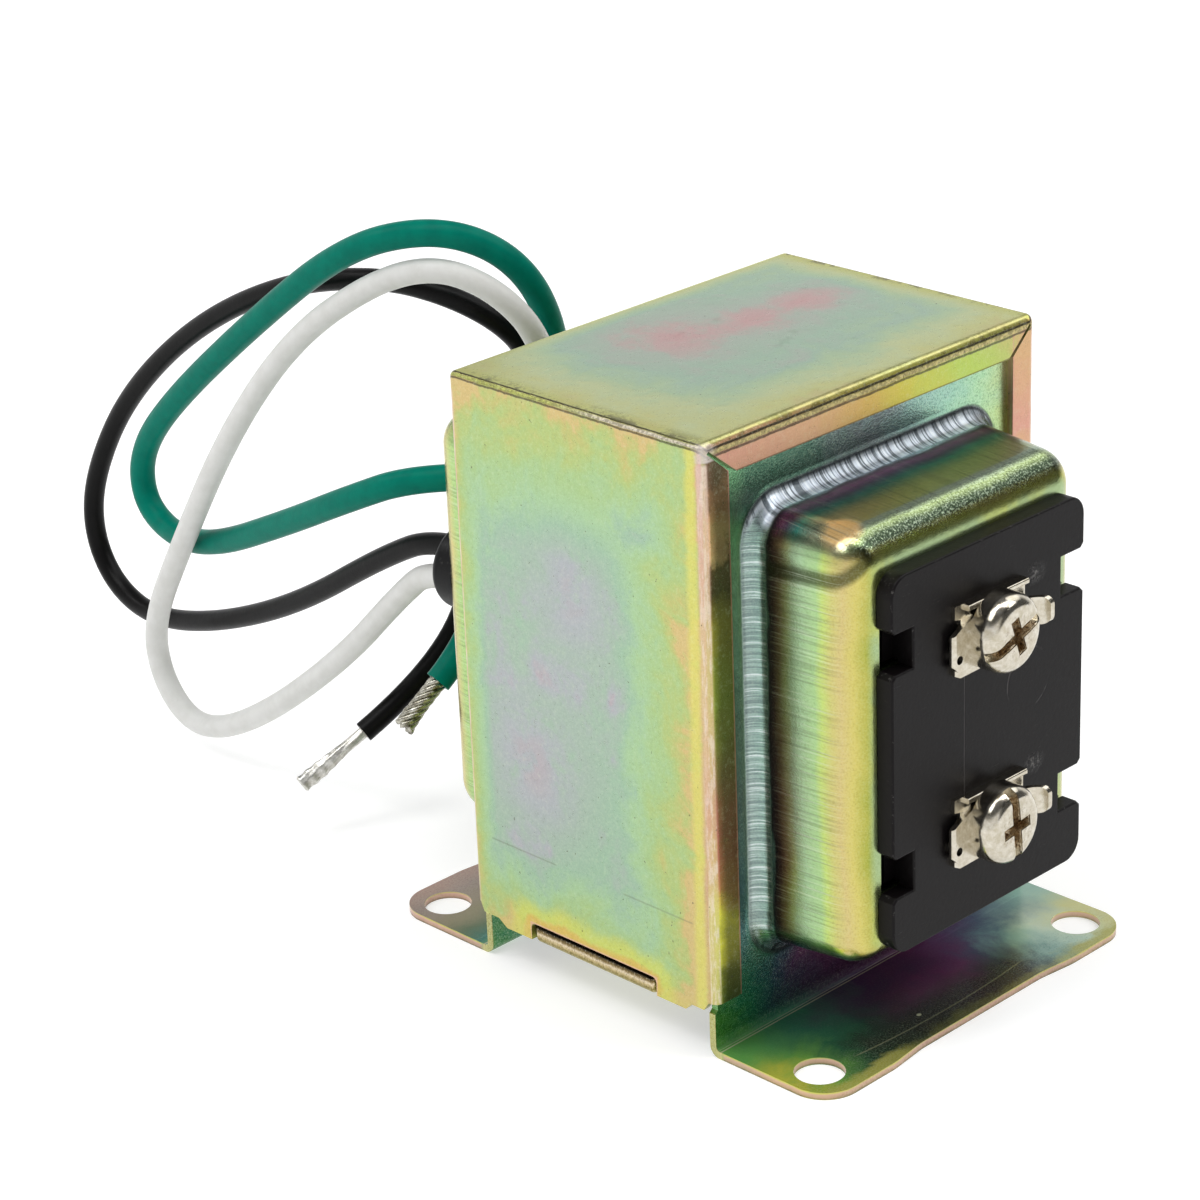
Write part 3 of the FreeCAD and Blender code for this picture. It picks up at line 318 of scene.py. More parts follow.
def shell_material():
    m = Mat("shell_plating")
    big = m.sub(m.noise((0.07, 0.07, 0.07), 7, 0.62, 1.0, 0.6), 0.5)
    mid = m.sub(m.noise((0.19, 0.19, 0.19), 7, 0.66, 2.0, 0.4), 0.5)
    fine = m.noise((1.6, 1.6, 1.6), 5, 0.7, 3.0)
    tiny = m.noise((6.0, 6.0, 6.0), 3, 0.6, 4.0)
    side = m.step(m.math("ABSOLUTE", m.nx), 0.6, 0.8)
    top = m.step(m.nz, 0.6, 0.8)
    fr = m.step(m.math("ABSOLUTE", m.ny), 0.6, 0.8)

    def smin(a, b):
        return m.math("SMOOTH_MIN", a, b, 3.0)
    # the film is thin at the folded edges and thick in the middle of a wall
    d = smin(smin(m.mul(m.sub(65.5, m.z), 0.55), m.mul(m.add(m.y, 17.0), 0.72)),
             smin(m.mul(m.sub(17.4, m.y), 2.2), m.mul(m.sub(m.z, 4.5), 0.85)))
    t = m.mul(m.math("MINIMUM", m.math("MAXIMUM", d, 0.0), 9.0), 0.62 / 9.0)
    w = m.mul(m.add(big, mid), 4.2)
    b1 = patch(m, m.y, m.z, 0.5, 46.5, 4.5, 6.5, 0.9, w)
    b2 = patch(m, m.y, m.z, 7.5, 25.5, 6.5, 6.5, 0.9, w)
    b3 = patch(m, m.y, m.z, 6.0, 38.0, 8.0, 22.0, 0.9, w)
    t = m.add(t, m.add(m.add(m.mul(b1, 0.15), m.mul(b2, 0.19)), m.mul(b3, 0.06)))
    t = m.sub(m.add(t, m.add(m.mul(big, 0.95), m.mul(mid, 0.75))), 0.05)
    c_side = m.ramp(t, [
        (0.0, lin(204, 180, 122)), (0.05, lin(188, 184, 116)), (0.14, lin(174, 190, 120)), (0.26, lin(164, 192, 134)),
        (0.40, lin(162, 194, 150)), (0.54, lin(154, 184, 158)), (0.66, lin(160, 178, 164)), (0.76, lin(168, 172, 176)),
        (0.88, lin(180, 160, 166)), (1.0, lin(190, 150, 158))])
    # the stripe where the lips were turned in, with a painted highlight along its bend broken into drawn lines
    pull = m.noise((0.6, 6.0, 0.12), 4, 0.7, 7.0)
    edge = m.add(m.add(m.y, m.mul(mid, 1.0)), m.mul(m.sub(m.z, 30.0), 0.008))
    c_fold = m.ramp(unit(m, m.add(m.z, m.mul(big, 30.0)), 0.0, 65.0), [
        (0.0, lin(190, 170, 110)), (0.3, lin(196, 156, 128)), (0.6, lin(204, 172, 136)), (0.85, lin(202, 152, 142)), (1.0, lin(206, 160, 152))])
    c_side = m.mix(m.mul(m.band(edge, -15.6, 0.2, 0.9), 0.75), c_side, lin(212, 206, 104))
    c_side = m.mix(m.mul(m.step(edge, -16.1, -16.8), 0.95), c_side, c_fold)
    # painted highlight: pale streaks just short of the front bend
    c_side = m.mix(m.mul(m.mul(m.step(edge, -16.4, -16.9), m.step(pull, 0.50, 0.62)), 0.65), c_side, lin(232, 224, 206))
    # thinner round the notch that the strap's tab fills
    ny = m.math("MAXIMUM", m.sub(m.math("ABSOLUTE", m.y), 9.05), 0.0)
    nd = m.math("SQRT", m.add(m.mul(ny, ny), m.mul(m.math("MAXIMUM", m.sub(m.z, 6.5), 0.0), m.math("MAXIMUM", m.sub(m.z, 6.5), 0.0))))
    nw = m.add(nd, m.mul(m.add(mid, big), 2.2))
    c_side = m.mix(m.mul(m.step(nw, 3.4, 1.4), 0.75), c_side, lin(206, 210, 98))
    c_side = m.mix(m.mul(m.step(nw, 1.2, 0.5), 0.85), c_side, lin(214, 178, 92))
    c_side = m.mix(m.mul(m.step(nd, 0.22, 0.08), 0.7), c_side, lin(224, 176, 160))
    low = m.step(m.add(m.z, m.mul(mid, 2.4)), 6.6, 4.4)
    c_side = m.mix(m.mul(low, 0.45), c_side, lin(206, 196, 104))
    # top wall
    dt = smin(smin(m.mul(m.add(m.x, 24.8), 0.62), m.mul(m.add(m.y, 17.4), 0.85)),
              smin(m.mul(m.sub(24.8, m.x), 1.5), m.mul(m.sub(17.4, m.y), 2.4)))
    tt = m.mul(m.math("MINIMUM", m.math("MAXIMUM", dt, 0.0), 8.0), 0.60 / 8.0)
    q1 = patch(m, m.x, m.y, -2.5, 6.5, 7.5, 6.0, 0.9, w)
    q2 = patch(m, m.x, m.y, 13.0, 4.0, 5.5, 3.6, 0.9, w)
    q3 = patch(m, m.x, m.y, 5.5, 4.0, 7.0, 4.6, 0.9, w)
    tt = m.add(tt, m.mul(m.math("MAXIMUM", m.math("MAXIMUM", q1, q2), q3), 0.30))
    tt = m.add(tt, m.add(m.mul(big, 0.56), m.mul(mid, 0.56)))
    c_top = m.ramp(tt, [
        (0.0, lin(204, 196, 128)), (0.10, lin(206, 208, 134)), (0.26, lin(202, 212, 156)), (0.44, lin(180, 206, 164)),
        (0.60, lin(168, 198, 174)), (0.74, lin(180, 190, 176)), (0.86, lin(204, 172, 168)), (1.0, lin(214, 154, 156))])
    # lips
    s = m.add(m.x, m.add(m.mul(big, 18.0), m.mul(mid, 8.0)))
    lip_top = m.ramp(unit(m, s, -24.0, 24.0), [
        (0.0, lin(200, 146, 128)), (0.26, lin(204, 160, 126)), (0.44, lin(200, 166, 92)), (0.60, lin(192, 182, 76)),
        (0.78, lin(172, 194, 92)), (0.9, lin(176, 186, 104)), (1.0, lin(204, 160, 118))])
    zz = m.add(m.z, m.add(m.mul(big, 18.0), m.mul(mid, 10.0)))
    lip_left = m.ramp(unit(m, zz, 0.0, 65.0), [
        (0.04, lin(96, 96, 42)), (0.12, lin(130, 134, 52)), (0.20, lin(204, 200, 60)), (0.27, lin(186, 128, 84)), (0.36, lin(168, 96, 86)),
        (0.46, lin(140, 110, 76)), (0.58, lin(140, 150, 66)), (0.72, lin(150, 138, 60)), (0.80, lin(80, 62, 40)), (0.855, lin(96, 72, 50)),
        (0.89, lin(216, 176, 132)), (0.925, lin(196, 150, 110)), (0.97, lin(104, 80, 60))])
    lip_right = m.ramp(unit(m, zz, 0.0, 65.0), [
        (0.1, lin(190, 180, 90)), (0.5, lin(206, 178, 100)), (0.68, lin(200, 190, 96)), (0.84, lin(208, 152, 134)), (0.95, lin(204, 164, 120))])
    inn = m.step(m.add(m.math("ABSOLUTE", m.x), m.mul(mid, 1.6)), 24.0, 22.8)
    lip_left = m.mix(m.mul(inn, 0.62), lip_left, lin(52, 54, 28))
    lip_left = m.mix(m.mul(m.step(m.math("ABSOLUTE", m.x), 24.0, 24.5), 0.6), lip_left, lin(186, 190, 88))
    lip_side = m.mix(m.step(m.x, -1.0, 1.0), lip_left, lip_right)
    over = m.sub(m.sub(m.math("ABSOLUTE", m.x), 20.95), m.math("MAXIMUM", m.sub(m.z, 61.8), 0.0))
    c_front = m.mix(m.step(over, -0.1, 0.1), lip_top, lip_side)
    c_front = m.mix(m.mul(m.mul(m.step(m.z, 61.98, 61.88), m.step(m.math("ABSOLUTE", m.x), 21.0, 20.6)), 0.7), c_front, lin(84, 62, 36))
    c_front = m.mix(m.mul(m.band(m.math("ABSOLUTE", m.x), 21.22, 0.05, 0.06), 0.6), c_front, lin(196, 138, 128))
    # cut edges, seen inside the notches and along the lips
    col = m.mix(side, lin(186, 160, 118), c_side)
    col = m.mix(top, col, c_top)
    col = m.mix(fr, col, c_front)
    # bends: stretched, darker and grainy above, a pale worn bead below whose pale colour is partly a painted highlight
    bend = off_axis(m)
    streak = m.noise((2.6, 2.6, 2.6), 5, 0.75, 5.0)
    fall = m.sub(65.5, m.z)
    slow = m.sub(m.noise((0.35, 0.35, 0.35), 3, 0.6, 6.0), 0.5)
    rag = m.sub(m.noise((1.6, 1.6, 1.6), 4, 0.7, 6.5), 0.5)
    ul = m.sub(m.add(m.x, 24.8), fall)
    uf = m.sub(m.add(m.y, 18.2), fall)
    ur = m.sub(m.sub(24.8, m.x), fall)
    ub = m.sub(m.sub(18.2, m.y), fall)
    ue = m.math("MINIMUM", m.math("MINIMUM", ul, uf), m.math("MINIMUM", ur, ub))
    high = m.step(m.z, 63.6, 63.8)
    uw = m.add(ue, m.add(m.mul(slow, 0.25), m.mul(rag, 0.22)))
    dark = m.mul(high, m.mul(m.step(uw, 0.10, 0.20), m.step(uw, 0.52, 0.38)))
    dark = m.math("MAXIMUM", dark, m.mul(m.mul(high, m.band(uw, -0.55, 0.07, 0.10)), 0.85))
    rust = m.mul(m.mul(high, m.step(m.add(ue, m.mul(rag, 1.6)), 1.5, 0.7)), m.mul(m.step(ue, 0.3, 0.4), m.step(m.add(slow, m.mul(rag, 0.8)), 0.02, 0.10)))
    # partly painted highlight: the pale worn bead on the crown, kept less metallic so its colour shows bright
    bead_sheen = m.mul(high, m.mul(m.step(uw, -0.44, -0.34), m.step(uw, 0.14, 0.06)))
    along = m.add(m.math("ABSOLUTE", m.add(m.y, 18.2)), m.mul(slow, 10.0))
    gold = m.mix(m.step(along, 12.0, 22.0), lin(214, 204, 184), lin(178, 184, 92))
    gold = m.mix(m.step(uf, 0.8, 0.2), gold, lin(206, 190, 124))
    bead_sheen_c = m.mix(m.step(streak, 0.58, 0.44), gold, m.mix(0.55, gold, lin(70, 58, 30)))
    front_e = m.step(m.sub(uf, m.math("MINIMUM", ul, ur)), 0.1, -0.1)
    col = m.mix(m.mul(m.mul(high, m.step(ue, 2.6, 0.6)), m.mul(m.step(ue, 0.2, 0.35), m.sub(0.5, m.mul(front_e, 0.5)))), col, lin(196, 200, 84))
    # painted shade: the crown's front edge darkened to a muted brown and olive
    crown_front_shade = m.mul(m.mul(high, front_e), m.mul(m.step(uf, 0.0, 0.1), m.step(uf, 1.15, 0.85)))
    col = m.mix(m.mul(crown_front_shade, 0.9), col, m.mix(m.step(m.add(m.x, m.mul(slow, 8.0)), -16.0, -6.0), lin(122, 92, 62), lin(104, 100, 34)))
    col = m.mix(m.mul(rust, 0.72), col, lin(74, 64, 24))
    col = m.mix(m.mul(bead_sheen, 0.95), col, bead_sheen_c)
    col = m.mix(m.mul(dark, 0.92), col, lin(46, 36, 18))
    crown = m.math("MAXIMUM", bead_sheen, dark)
    corner = patch(m, m.add(m.x, 24.8), m.add(m.y, 18.2), 0.2, 0.2, 1.5, 1.3, 0.6, m.mul(rag, 1.4))
    col = m.mix(m.mul(m.mul(high, corner), 0.8), col, lin(214, 204, 198))
    # burnished halo just inside the two front-facing top edges
    inl = m.math("MINIMUM", m.add(m.x, 24.8), m.mul(m.add(m.y, 18.2), 1.0))
    halo = m.mul(m.mul(top, m.step(inl, 2.6, 1.2)), m.step(m.add(streak, m.mul(mid, 1.6)), 0.54, 0.64))
    col = m.mix(m.mul(halo, 0.45), col, lin(126, 122, 54))
    post = m.mul(bend, m.step(m.z, 63.8, 63.2))
    worn = m.noise((1.2, 3.0, 0.35), 4, 0.7, 8.0)
    post_c = m.ramp(unit(m, zz, 0.0, 65.0), [
        (0.0, lin(176, 178, 96)), (0.2, lin(206, 196, 120)), (0.42, lin(206, 160, 132)), (0.62, lin(210, 186, 134)), (0.85, lin(214, 178, 150)), (1.0, lin(218, 190, 176))])
    col = m.mix(m.mul(post, 0.72), col, post_c)
    col = m.mix(m.mul(m.mul(post, m.step(worn, 0.46, 0.60)), 0.5), col, lin(232, 218, 204))
    mitre = m.mul(m.mul(m.step(m.y, -17.2, -17.45), m.step(m.z, 66.0, 65.0)), m.mul(m.step(m.math("ABSOLUTE", m.nx), 0.3, 0.5), m.step(m.math("ABSOLUTE", m.nz), 0.3, 0.5)))
    col = m.mix(m.mul(mitre, 0.8), col, lin(196, 204, 92))
    # pits and fine mottle
    pit = m.noise((1.7, 1.7, 1.7), 2, 0.5, 9.0)
    col = m.mix(m.mul(m.step(pit, 0.745, 0.765), 0.7), col, lin(84, 80, 56))
    col = m.mix(m.mul(m.step(fine, 0.50, 0.72), 0.16), col, lin(214, 222, 190))
    col = m.mix(m.mul(m.step(fine, 0.50, 0.30), 0.14), col, lin(128, 138, 108))
    col = m.mix(m.mul(m.step(tiny, 0.48, 0.75), 0.20), col, lin(118, 124, 96))
    col = m.mix(m.mul(m.step(tiny, 0.48, 0.25), 0.18), col, lin(226, 230, 204))
    # the faint line that a stop left low on the wall, and fine handling marks
    stop = m.mul(m.mul(side, m.band(m.sub(m.z, 14.6), 0.0, 0.05, 0.10)), m.step(m.math("ABSOLUTE", m.sub(m.math("ABSOLUTE", m.y), 9.6)), 5.0, 4.6))
    col = m.mix(m.mul(stop, 0.35), col, lin(110, 112, 92))
    sv = m.noise((0.22, 0.22, 7.0), 3, 0.7, 11.0)
    sv2 = m.noise((5.5, 0.5, 0.5), 3, 0.7, 12.0)
    scr = m.math("MAXIMUM", m.step(sv, 0.66, 0.72), m.step(sv2, 0.68, 0.74))
    rough = m.add(m.add(0.30, m.mul(m.sub(fine, 0.5), 0.20)), m.add(m.mul(scr, 0.10), m.mul(bend, 0.04)))
    h = m.add(m.add(m.mul(fine, 0.45), m.mul(tiny, 0.20)), m.add(m.mul(streak, m.add(0.10, m.mul(crown, 1.4))), m.mul(mid, 1.2)))
    metal = m.sub(0.90, m.add(m.add(m.mul(bead_sheen, 0.42), m.mul(post, 0.10)), m.mul(dark, 0.30)))
    m.set(color=col, metal=metal, rough=rough, normal=m.bump(h, 0.30, 0.00012))
    return m


def bell_material(name, sign, foot_paint):
    """A drawn bell: colour follows the depth of draw; sign is -1 for the front."""
    m = Mat(name)
    big = m.sub(m.noise((0.08, 0.08, 0.08), 6, 0.6, 21.0 + sign, 0.5), 0.5)
    mid = m.sub(m.noise((0.22, 0.22, 0.22), 6, 0.64, 22.0 + sign, 0.3), 0.5)
    fine = m.noise((1.4, 1.4, 1.4), 4, 0.6, 23.0)
    depth = m.sub(m.mul(m.y, float(sign)), 16.6)          # 0 at the flange, 12.8 at the nose
    dw = m.add(depth, m.add(m.mul(big, 2.2), m.mul(mid, 0.7)))
    xz = m.add(m.x, m.add(m.mul(big, 20.0), m.mul(mid, 9.0)))
    # flange
    fl = m.ramp(unit(m, xz, -24.0, 24.0), [
        (0.0, lin(118, 176, 118)), (0.10, lin(76, 132, 98)), (0.26, lin(66, 112, 92)), (0.40, lin(78, 96, 98)), (0.50, lin(128, 104, 136)),
        (0.58, lin(136, 158, 166)), (0.70, lin(142, 186, 164)), (0.85, lin(168, 206, 152)), (1.0, lin(194, 204, 124))])
    zl = m.add(m.z, m.mul(big, 20.0))
    fl_left = m.ramp(unit(m, zl, 0.0, 65.0), [
        (0.02, lin(92, 150, 84)), (0.10, lin(66, 132, 108)), (0.22, lin(76, 112, 122)), (0.40, lin(112, 130, 128)), (0.62, lin(116, 152, 130)),
        (0.80, lin(128, 176, 130)), (0.94, lin(110, 186, 112))])
    leftm = m.mul(m.step(m.math("ABSOLUTE", m.x), 17.5, 20.0), m.step(m.x, 2.0, -2.0))
    fl = m.mix(leftm, fl, fl_left)
    fl_low = m.ramp(unit(m, xz, -24.0, 24.0), [
        (0.0, lin(96, 150, 78)), (0.08, lin(60, 140, 112)), (0.22, lin(66, 104, 120)), (0.34, lin(124, 72, 118)), (0.50, lin(88, 60, 88)),
        (0.66, lin(84, 88, 124)), (0.80, lin(104, 134, 144)), (1.0, lin(130, 164, 158))])
    fl = m.mix(m.mul(m.step(m.z, 56.0, 58.0), 0.35), fl, lin(150, 196, 172))
    fl = m.mix(m.step(m.z, 10.0, 7.0), fl, fl_low)
    # walls
    if sign < 0:
        side_r = [(0.0, lin(146, 164, 158)), (0.08, lin(136, 164, 154)), (0.145, lin(142, 178, 158)), (0.17, lin(60, 46, 50)), (0.215, lin(84, 64, 58)),
                  (0.27, lin(116, 106, 76)), (0.34, lin(144, 158, 112)), (0.39, lin(146, 172, 136)), (0.46, lin(160, 192, 150)), (0.60, lin(166, 200, 138)),
                  (0.66, lin(188, 208, 116)), (0.74, lin(196, 190, 114)), (0.82, lin(202, 184, 122)), (0.90, lin(200, 188, 104)), (1.0, lin(150, 160, 58))]
        # the first two stops paint a highlight on the upward-facing root, and the dark stops at 0.875 and 0.94 paint a
        # dark reflection near the nose
        top_r = [(0.0, lin(196, 206, 214)), (0.14, lin(190, 198, 214)), (0.17, lin(66, 46, 62)), (0.22, lin(138, 72, 118)),
                 (0.28, lin(96, 72, 104)), (0.36, lin(68, 148, 136)), (0.50, lin(146, 158, 130)), (0.66, lin(168, 178, 138)), (0.74, lin(172, 190, 168)),
                 (0.82, lin(150, 168, 112)), (0.875, lin(58, 74, 50)), (0.94, lin(44, 58, 40)), (0.97, lin(96, 136, 62)), (1.0, lin(110, 140, 60))]
    else:
        side_r = [(0.0, lin(166, 196, 150)), (0.16, lin(160, 190, 128)), (0.30, lin(150, 188, 136)), (0.50, lin(160, 198, 142)),
                  (0.70, lin(172, 202, 128)), (0.82, lin(206, 190, 116)), (0.93, lin(170, 178, 92)), (1.0, lin(120, 140, 60))]
        top_r = [(0.0, lin(120, 150, 110)), (0.2, lin(150, 166, 92)), (0.5, lin(118, 124, 70)), (0.8, lin(166, 180, 110)), (1.0, lin(110, 120, 70))]
    wall_side = m.ramp(unit(m, dw, 0.0, 13.0), side_r)
    wall_top = m.ramp(unit(m, dw, 0.0, 13.0), top_r)
    ax = m.math("ABSOLUTE", m.nx)
    az = m.math("ABSOLUTE", m.nz)
    # where the root radius is: by position, so the drawn corner blends round
    px = m.step(m.math("ABSOLUTE", m.x), 15.6, 17.4)
    pz = m.math("MAXIMUM", m.step(m.z, 54.0, 56.4), m.step(m.z, 12.0, 9.8))
    upd = m.mul(m.math("MAXIMUM", m.step(az, 0.35, 0.7), m.mul(pz, m.step(ax, 0.6, 0.3))), 1.0)
    on_dome = m.step(depth, 0.03, 0.10)
    wall = m.mix(upd, wall_side, wall_top)
    if sign < 0:
        # painted highlight: a warm pale patch on the nose's upper left corner
        warm_highlight = patch(m, m.x, depth, -14.2, 8.8, 1.9, 1.7, 0.35, m.mul(m.add(mid, big), 0.8))
        wall = m.mix(m.mul(m.mul(warm_highlight, m.step(m.z, 50.5, 52.0)), 0.9), wall, lin(230, 186, 118))
        # painted reflection: a dark band along the dome's upper left edge
        rim_dark_reflection = m.mul(m.mul(m.band(m.sub(m.sub(m.z, 55.0), m.mul(m.math("MINIMUM", m.add(m.x, 14.6), 0.0), 0.9)), -0.9, 0.35, 0.9), m.step(m.x, -13.2, -14.6)), m.step(depth, 1.5, 2.5))
        wall = m.mix(m.mul(rim_dark_reflection, 0.8), wall, lin(48, 52, 26))
        # less metal under the painted highlights on the corner patch and the upward-facing root, so their pale colour
        # shows bright
        soft = m.math("MAXIMUM", m.mul(m.mul(warm_highlight, m.step(m.z, 50.5, 52.0)), 0.40),
                      m.mul(m.mul(upd, m.step(m.z, 50.0, 54.0)), m.mul(m.mul(m.step(depth, 0.05, 0.25), m.step(depth, 2.1, 1.7)), 0.52)))
    else:
        soft = m.mul(upd, 0.0)
    nose = m.step(depth, 12.3, 12.75)
    nose_c = m.mix(m.step(big, -0.1, 0.15), lin(176, 186, 104), lin(158, 180, 132))
    col = m.mix(on_dome, fl, wall)
    col = m.mix(nose, col, nose_c)
    # die marks across the root radius: dense fine lines, and a dark line at both of its ends
    lz = m.noise((0.0, 0.10, 3.6), 3, 0.7, 34.0)
    lx3 = m.noise((3.2, 0.10, 0.0), 3, 0.7, 35.0)
    mx = m.new_mix(upd, lz, lx3)
    root = m.mul(m.step(depth, 0.05, 0.16), m.step(depth, 2.1, 1.8))
    col = m.mix(m.mul(m.mul(root, m.step(mx, 0.49, 0.57)), m.new_mix(upd, 0.42, 0.88)), col, lin(66, 76, 84))
    col = m.mix(m.mul(m.mul(root, m.step(mx, 0.46, 0.36)), 0.5), col, lin(236, 242, 244))
    outer = m.mul(m.step(depth, 0.02, 0.05), m.step(depth, 0.26, 0.14))
    col = m.mix(m.mul(outer, m.new_mix(upd, 0.30, 0.70)), col, lin(34, 44, 44))
    inner = m.band(m.add(depth, m.mul(mid, 0.35)), 2.1, 0.05, 0.15)
    col = m.mix(m.mul(inner, 0.30), col, lin(52, 42, 46))
    # foot
    foot_m = m.mul(m.step(m.z, 2.6, 1.3), m.step(depth, -0.6, 0.3))
    fx = m.add(m.x, m.add(m.mul(big, 18.0), m.mul(mid, 6.0)))
    fd = m.add(m.mul(m.y, float(sign)), m.mul(mid, 5.0))   # 16.6 at the riser, 31.5 at the edge
    col = m.mix(foot_m, col, foot_paint(m, fx, fd))
    # painted highlight: bright thin lines along the foot's bend
    bend_highlight = m.mul(m.band(depth, 0.62, 0.05, 0.07), m.step(m.z, 2.6, 1.6))
    bend_highlight = m.math("MAXIMUM", bend_highlight, m.mul(m.mul(m.band(depth, 0.30, 0.02, 0.05), m.step(m.z, 2.6, 1.6)), 0.5))
    col = m.mix(m.mul(bend_highlight, 0.85), col, lin(222, 214, 186))
    # cut edges
    rim_x = m.mul(m.step(m.math("ABSOLUTE", m.x), 24.12, 24.24), m.step(m.z, 6.0, 5.0))
    rim_y = m.step(m.mul(m.y, float(sign)), 30.8, 31.1)
    hole = m.mul(m.step(m.z, 0.85, 0.7), m.step(m.z, 0.0, 0.08))
    cut = m.mul(m.math("MAXIMUM", m.math("MAXIMUM", rim_x, rim_y), hole), m.step(az, 0.8, 0.5))
    col = m.mix(m.mul(m.mul(cut, m.step(m.mul(m.y, float(sign)), 17.2, 17.8)), 0.85), col, m.ramp(unit(m, m.add(m.z, m.mul(mid, 0.5)), 0.0, 0.8), [(0.0, lin(96, 84, 44)), (0.3, lin(186, 150, 128)), (0.7, lin(214, 170, 152)), (0.95, lin(206, 200, 96))]))
    riser = m.mul(m.mul(rim_x, m.step(m.mul(m.y, float(sign)), 17.8, 17.2)), 1.0)
    col = m.mix(m.mul(riser, 0.8), col, lin(196, 184, 120))
    # draw marks: fine lines that cross the wall
    lx = m.new_mix(upd, m.noise((0.0, 0.05, 3.0), 3, 0.6, 31.0), m.noise((3.2, 0.03, 0.0), 3, 0.6, 37.0))
    lx2 = m.new_mix(upd, m.noise((0.0, 0.08, 6.5), 3, 0.6, 32.0), m.noise((7.0, 0.05, 0.0), 3, 0.6, 38.0))
    lines = m.mul(m.mul(m.step(depth, 2.0, 2.8), m.step(depth, 11.6, 8.6)), m.step(m.z, 2.5, 5.0))
    col = m.mix(m.mul(m.mul(m.step(lx, 0.50, 0.62), lines), m.new_mix(upd, 0.24, 0.46)), col, lin(66, 66, 52))
    col = m.mix(m.mul(m.mul(m.step(lx2, 0.54, 0.66), lines), 0.28), col, lin(216, 224, 206))
    # grain
    grain = m.noise((5.0, 5.0, 5.0), 3, 0.65, 33.0)
    flat_ = m.math("MAXIMUM", m.step(depth, 0.12, -0.02), m.mul(m.mul(upd, m.step(depth, 9.0, 11.0)), 1.6))
    gw = m.mul(m.add(0.35, m.mul(flat_, 0.65)), m.sub(1.0, m.mul(foot_m, 0.6)))
    col = m.mix(m.mul(m.mul(m.step(grain, 0.46, 0.68), 0.34), gw), col, lin(196, 210, 186))
    col = m.mix(m.mul(m.mul(m.step(grain, 0.50, 0.32), 0.42), gw), col, lin(40, 52, 44))
    orange = m.mul(m.step(depth, 0.1, -0.1), 1.0)
    h = m.add(m.add(m.mul(m.mul(lx, lines), 0.25), m.mul(m.mul(mx, root), 0.9)),
              m.add(m.mul(grain, m.add(0.40, m.mul(orange, 0.8))), m.mul(mid, 0.8)))
    rough = m.add(0.22, m.add(m.mul(m.sub(fine, 0.5), 0.12), m.mul(m.add(big, mid), 0.10)))
    m.set(color=col, metal=m.sub(0.94, m.add(soft, m.mul(foot_m, 0.52))), rough=rough, normal=m.bump(h, 0.34, 0.00010))
    return m


def front_foot(m, fx, fd):
    base = m.ramp(unit(m, fx, -24.0, 24.0), [
        (0.0, lin(196, 196, 70)), (0.07, lin(120, 176, 72)), (0.18, lin(46, 116, 76)), (0.30, lin(42, 92, 68)), (0.42, lin(86, 62, 76)),
        (0.56, lin(138, 62, 112)), (0.68, lin(92, 90, 120)), (0.78, lin(164, 208, 198)), (0.88, lin(214, 232, 206)), (1.0, lin(222, 220, 156))])
    inner = m.ramp(unit(m, fx, -24.0, 24.0), [
        (0.0, lin(110, 176, 88)), (0.2, lin(62, 130, 100)), (0.38, lin(88, 58, 98)), (0.6, lin(128, 62, 110)), (0.78, lin(96, 100, 124)), (1.0, lin(170, 206, 190))])
    dark = m.mul(m.step(fd, 22.5, 28.0), m.mul(m.step(fx, -22.0, -12.0), m.step(fx, 17.0, 7.0)))
    c = m.mix(m.step(fd, 25.0, 19.0), base, inner)
    c = m.mix(m.mul(dark, 0.86), c, lin(44, 46, 28))
    mid_f = m.mul(m.step(fx, -14.0, -7.0), m.step(fx, 16.0, 10.0))
    c = m.mix(m.mul(m.step(fd, 29.4, 30.8), m.sub(0.85, m.mul(mid_f, 0.6))), c, lin(190, 186, 92))
    # a long curved scratch and a nick
    arc = m.add(m.y, m.add(28.55, m.mul(m.mul(m.add(m.x, 2.0), m.add(m.x, 2.0)), -0.0042)))
    scr = m.mul(m.step(m.math("ABSOLUTE", arc), 0.13, 0.04), m.mul(m.step(m.x, -16.5, -15.0), m.step(m.x, 10.5, 9.0)))
    c = m.mix(m.mul(scr, 0.5), c, lin(170, 168, 130))
    nick = patch(m, m.x, m.y, -5.5, -27.2, 0.26, 0.22, 0.4, 0.0)
    return m.mix(nick, c, lin(228, 226, 186))


def rear_foot(m, fx, fd):
    c = m.ramp(unit(m, fd, 16.6, 31.6), [
        (0.0, lin(120, 176, 120)), (0.12, lin(62, 132, 118)), (0.26, lin(110, 130, 100)), (0.48, lin(160, 152, 122)),
        (0.75, lin(172, 154, 144)), (1.0, lin(190, 158, 144))])
    return m.mix(m.mul(m.step(fx, 6.0, 20.0), 0.6), c, lin(150, 176, 130))


